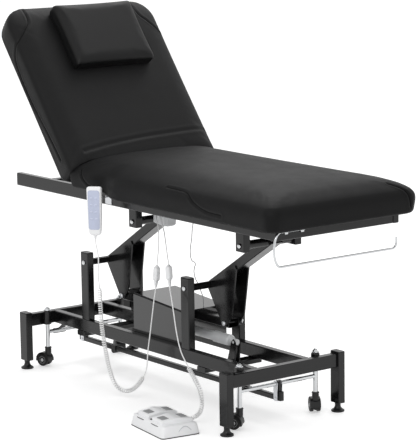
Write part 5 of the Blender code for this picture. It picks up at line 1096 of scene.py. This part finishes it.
def rocker_body(x):
    """Two-way pedal with a soft ridge and turned-down ends."""
    half = [(0.0, 0.0638), (0.0115, 0.0628), (0.0160, 0.0605), (0.0566, 0.0568), (0.0592, 0.0550),
            (0.0602, 0.0520), (0.0596, 0.0262)]
    outline = [(-y, z) for y, z in half[:0:-1]] + half
    loops = []
    for along, inset in ((-0.0400, 0.0012), (-0.0388, 0.0), (0.0388, 0.0), (0.0400, 0.0012)):
        loops.append([(x + along, y * (1 - inset / 0.059), 0.0262 + (z - 0.0262) * (1 - inset / 0.026))
                      for y, z in outline])
    return loft(loops)


def rocker_pads(x):
    """Ribbed grey treads on both slopes of a pedal."""
    slope = atan2(0.0605 - 0.0568, 0.0420)
    bodies = []
    for side in (-1, 1):
        tilt = at(x, side * 0.0375, 0.0586) @ Matrix.Rotation(-side * slope, 4, "X")
        bodies.append(placed(block((0.044, 0.028, 0.0012), 0.003, lip=0.0004), tilt @ at(0, 0, 0.0004)))
        for k in range(7):
            rib = block((0.0026, 0.022, 0.0010), 0.0008, lip=0.0003)
            bodies.append(placed(rib, tilt @ at(-0.018 + 0.006 * k, 0, 0.0014)))
    return merged(*bodies)


def make_foot_control():
    loops = []
    for rise, inset in ((0.08, 0.0), (0.14, 0.0), (0.45, 0.14), (0.70, 0.26), (0.86, 0.38), (0.95, 0.52),
                        (1.0, 0.80)):
        outline = rounded(0.1225 - 0.014 * inset, 0.078 - 0.016 * inset, 0.014, 6)
        loops.append([(a, b, 0.044 * rise) for a, b in outline])
    shell = loft(loops)
    gland = turned([(0.0080, 0.0), (0.0080, 0.008), (0.0074, 0.0095), (0.0080, 0.011), (0.0072, 0.0135),
                    (0.0076, 0.015), (0.0068, 0.0175), (0.0070, 0.020), (0.0056, 0.0300)], 24)
    gland = placed(gland, facing((-0.020, 0.064, 0.018), (0, 1, 0)))
    rims = []
    for side in (-1, 1):
        outer = rounded(0.0436, 0.0668, 0.006, 4)
        inner = rounded(0.0418, 0.0650, 0.005, 4)
        ring = [[(side * PEDAL_X + a, b, z) for a, b in shape]
                for shape, z in ((outer, 0.0425), (outer, 0.0448), (inner, 0.0450), (inner, 0.0425))]
        rims.append(loft(ring, caps=False))
    made = piece("foot_control_shell", placed(merged(shell, gland, *rims), PEDALBOX_FRAME), "white", "base",
                 sharp=45)
    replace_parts(made, "foot_control_base")
    mat = placed(block((0.2475, 0.1585, 0.0034), 0.015, 5), at(0, 0, 0.0018))
    piece("foot_control_mat", placed(mat, PEDALBOX_FRAME), "rubber", "base")
    for label, side in HANDS:
        x = side * PEDAL_X
        rocker = piece("foot_pedal_" + label, placed(rocker_body(x), PEDALBOX_FRAME), "white",
                       "foot_rocker_" + label, sharp=40, bevel=0.0006)
        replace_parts(rocker, "foot_rocker_" + label)
        piece("foot_tread_" + label, placed(rocker_pads(x), PEDALBOX_FRAME), "pad_grey",
              "foot_rocker_" + label)
        # A thin black tube under each pedal's front end is painted shadow of the gap below the pedal's lip.
        lip = [Vector((x + 0.0021 * k, -0.0705 - 0.0028 * (1 - (k / 13) ** 2),
                       0.0388 - 0.0010 * (k / 13) ** 2)) for k in range(-13, 14)]
        piece("foot_lip_" + label, placed(tube(lip, 0.0013, 8), PEDALBOX_FRAME), "rubber", "base")
    # A thin black strip between the pedals is painted shade in the groove that parts them.
    gap = block((0.0170, 0.1180, 0.0020), 0.004, lip=0.0004)
    piece("foot_control_gap_painted_shade", placed(gap, PEDALBOX_FRAME @ at(0, 0, 0.0442)), "rubber", "base")
    for label, side in HANDS:
        run = [Vector((side * 0.1195, -0.014 + 0.060 * k / 14, 0.014 + 0.022 * sin(pi * k / 14)))
               for k in range(15)]
        piece("foot_control_bail_" + label, placed(tube(run, 0.0014, 10), PEDALBOX_FRAME), "zinc", "base")


bpy.context.scene.view_settings.view_transform = "Standard"
make_camera()
make_cords()
make_world()
make_floor()
make_lamp("key_lamp", (-1.4, 1.6, 4.0), (0.1, 0.0, 0.6), 48.0)
make_lamp("side_lamp", (2.2, -2.8, 3.2), (0.0, 0.0, 0.4), 46.0)
dress_frame()
make_cushions()
make_fasteners()
make_roll_bar()
make_running_gear()
make_handset()
make_foot_control()
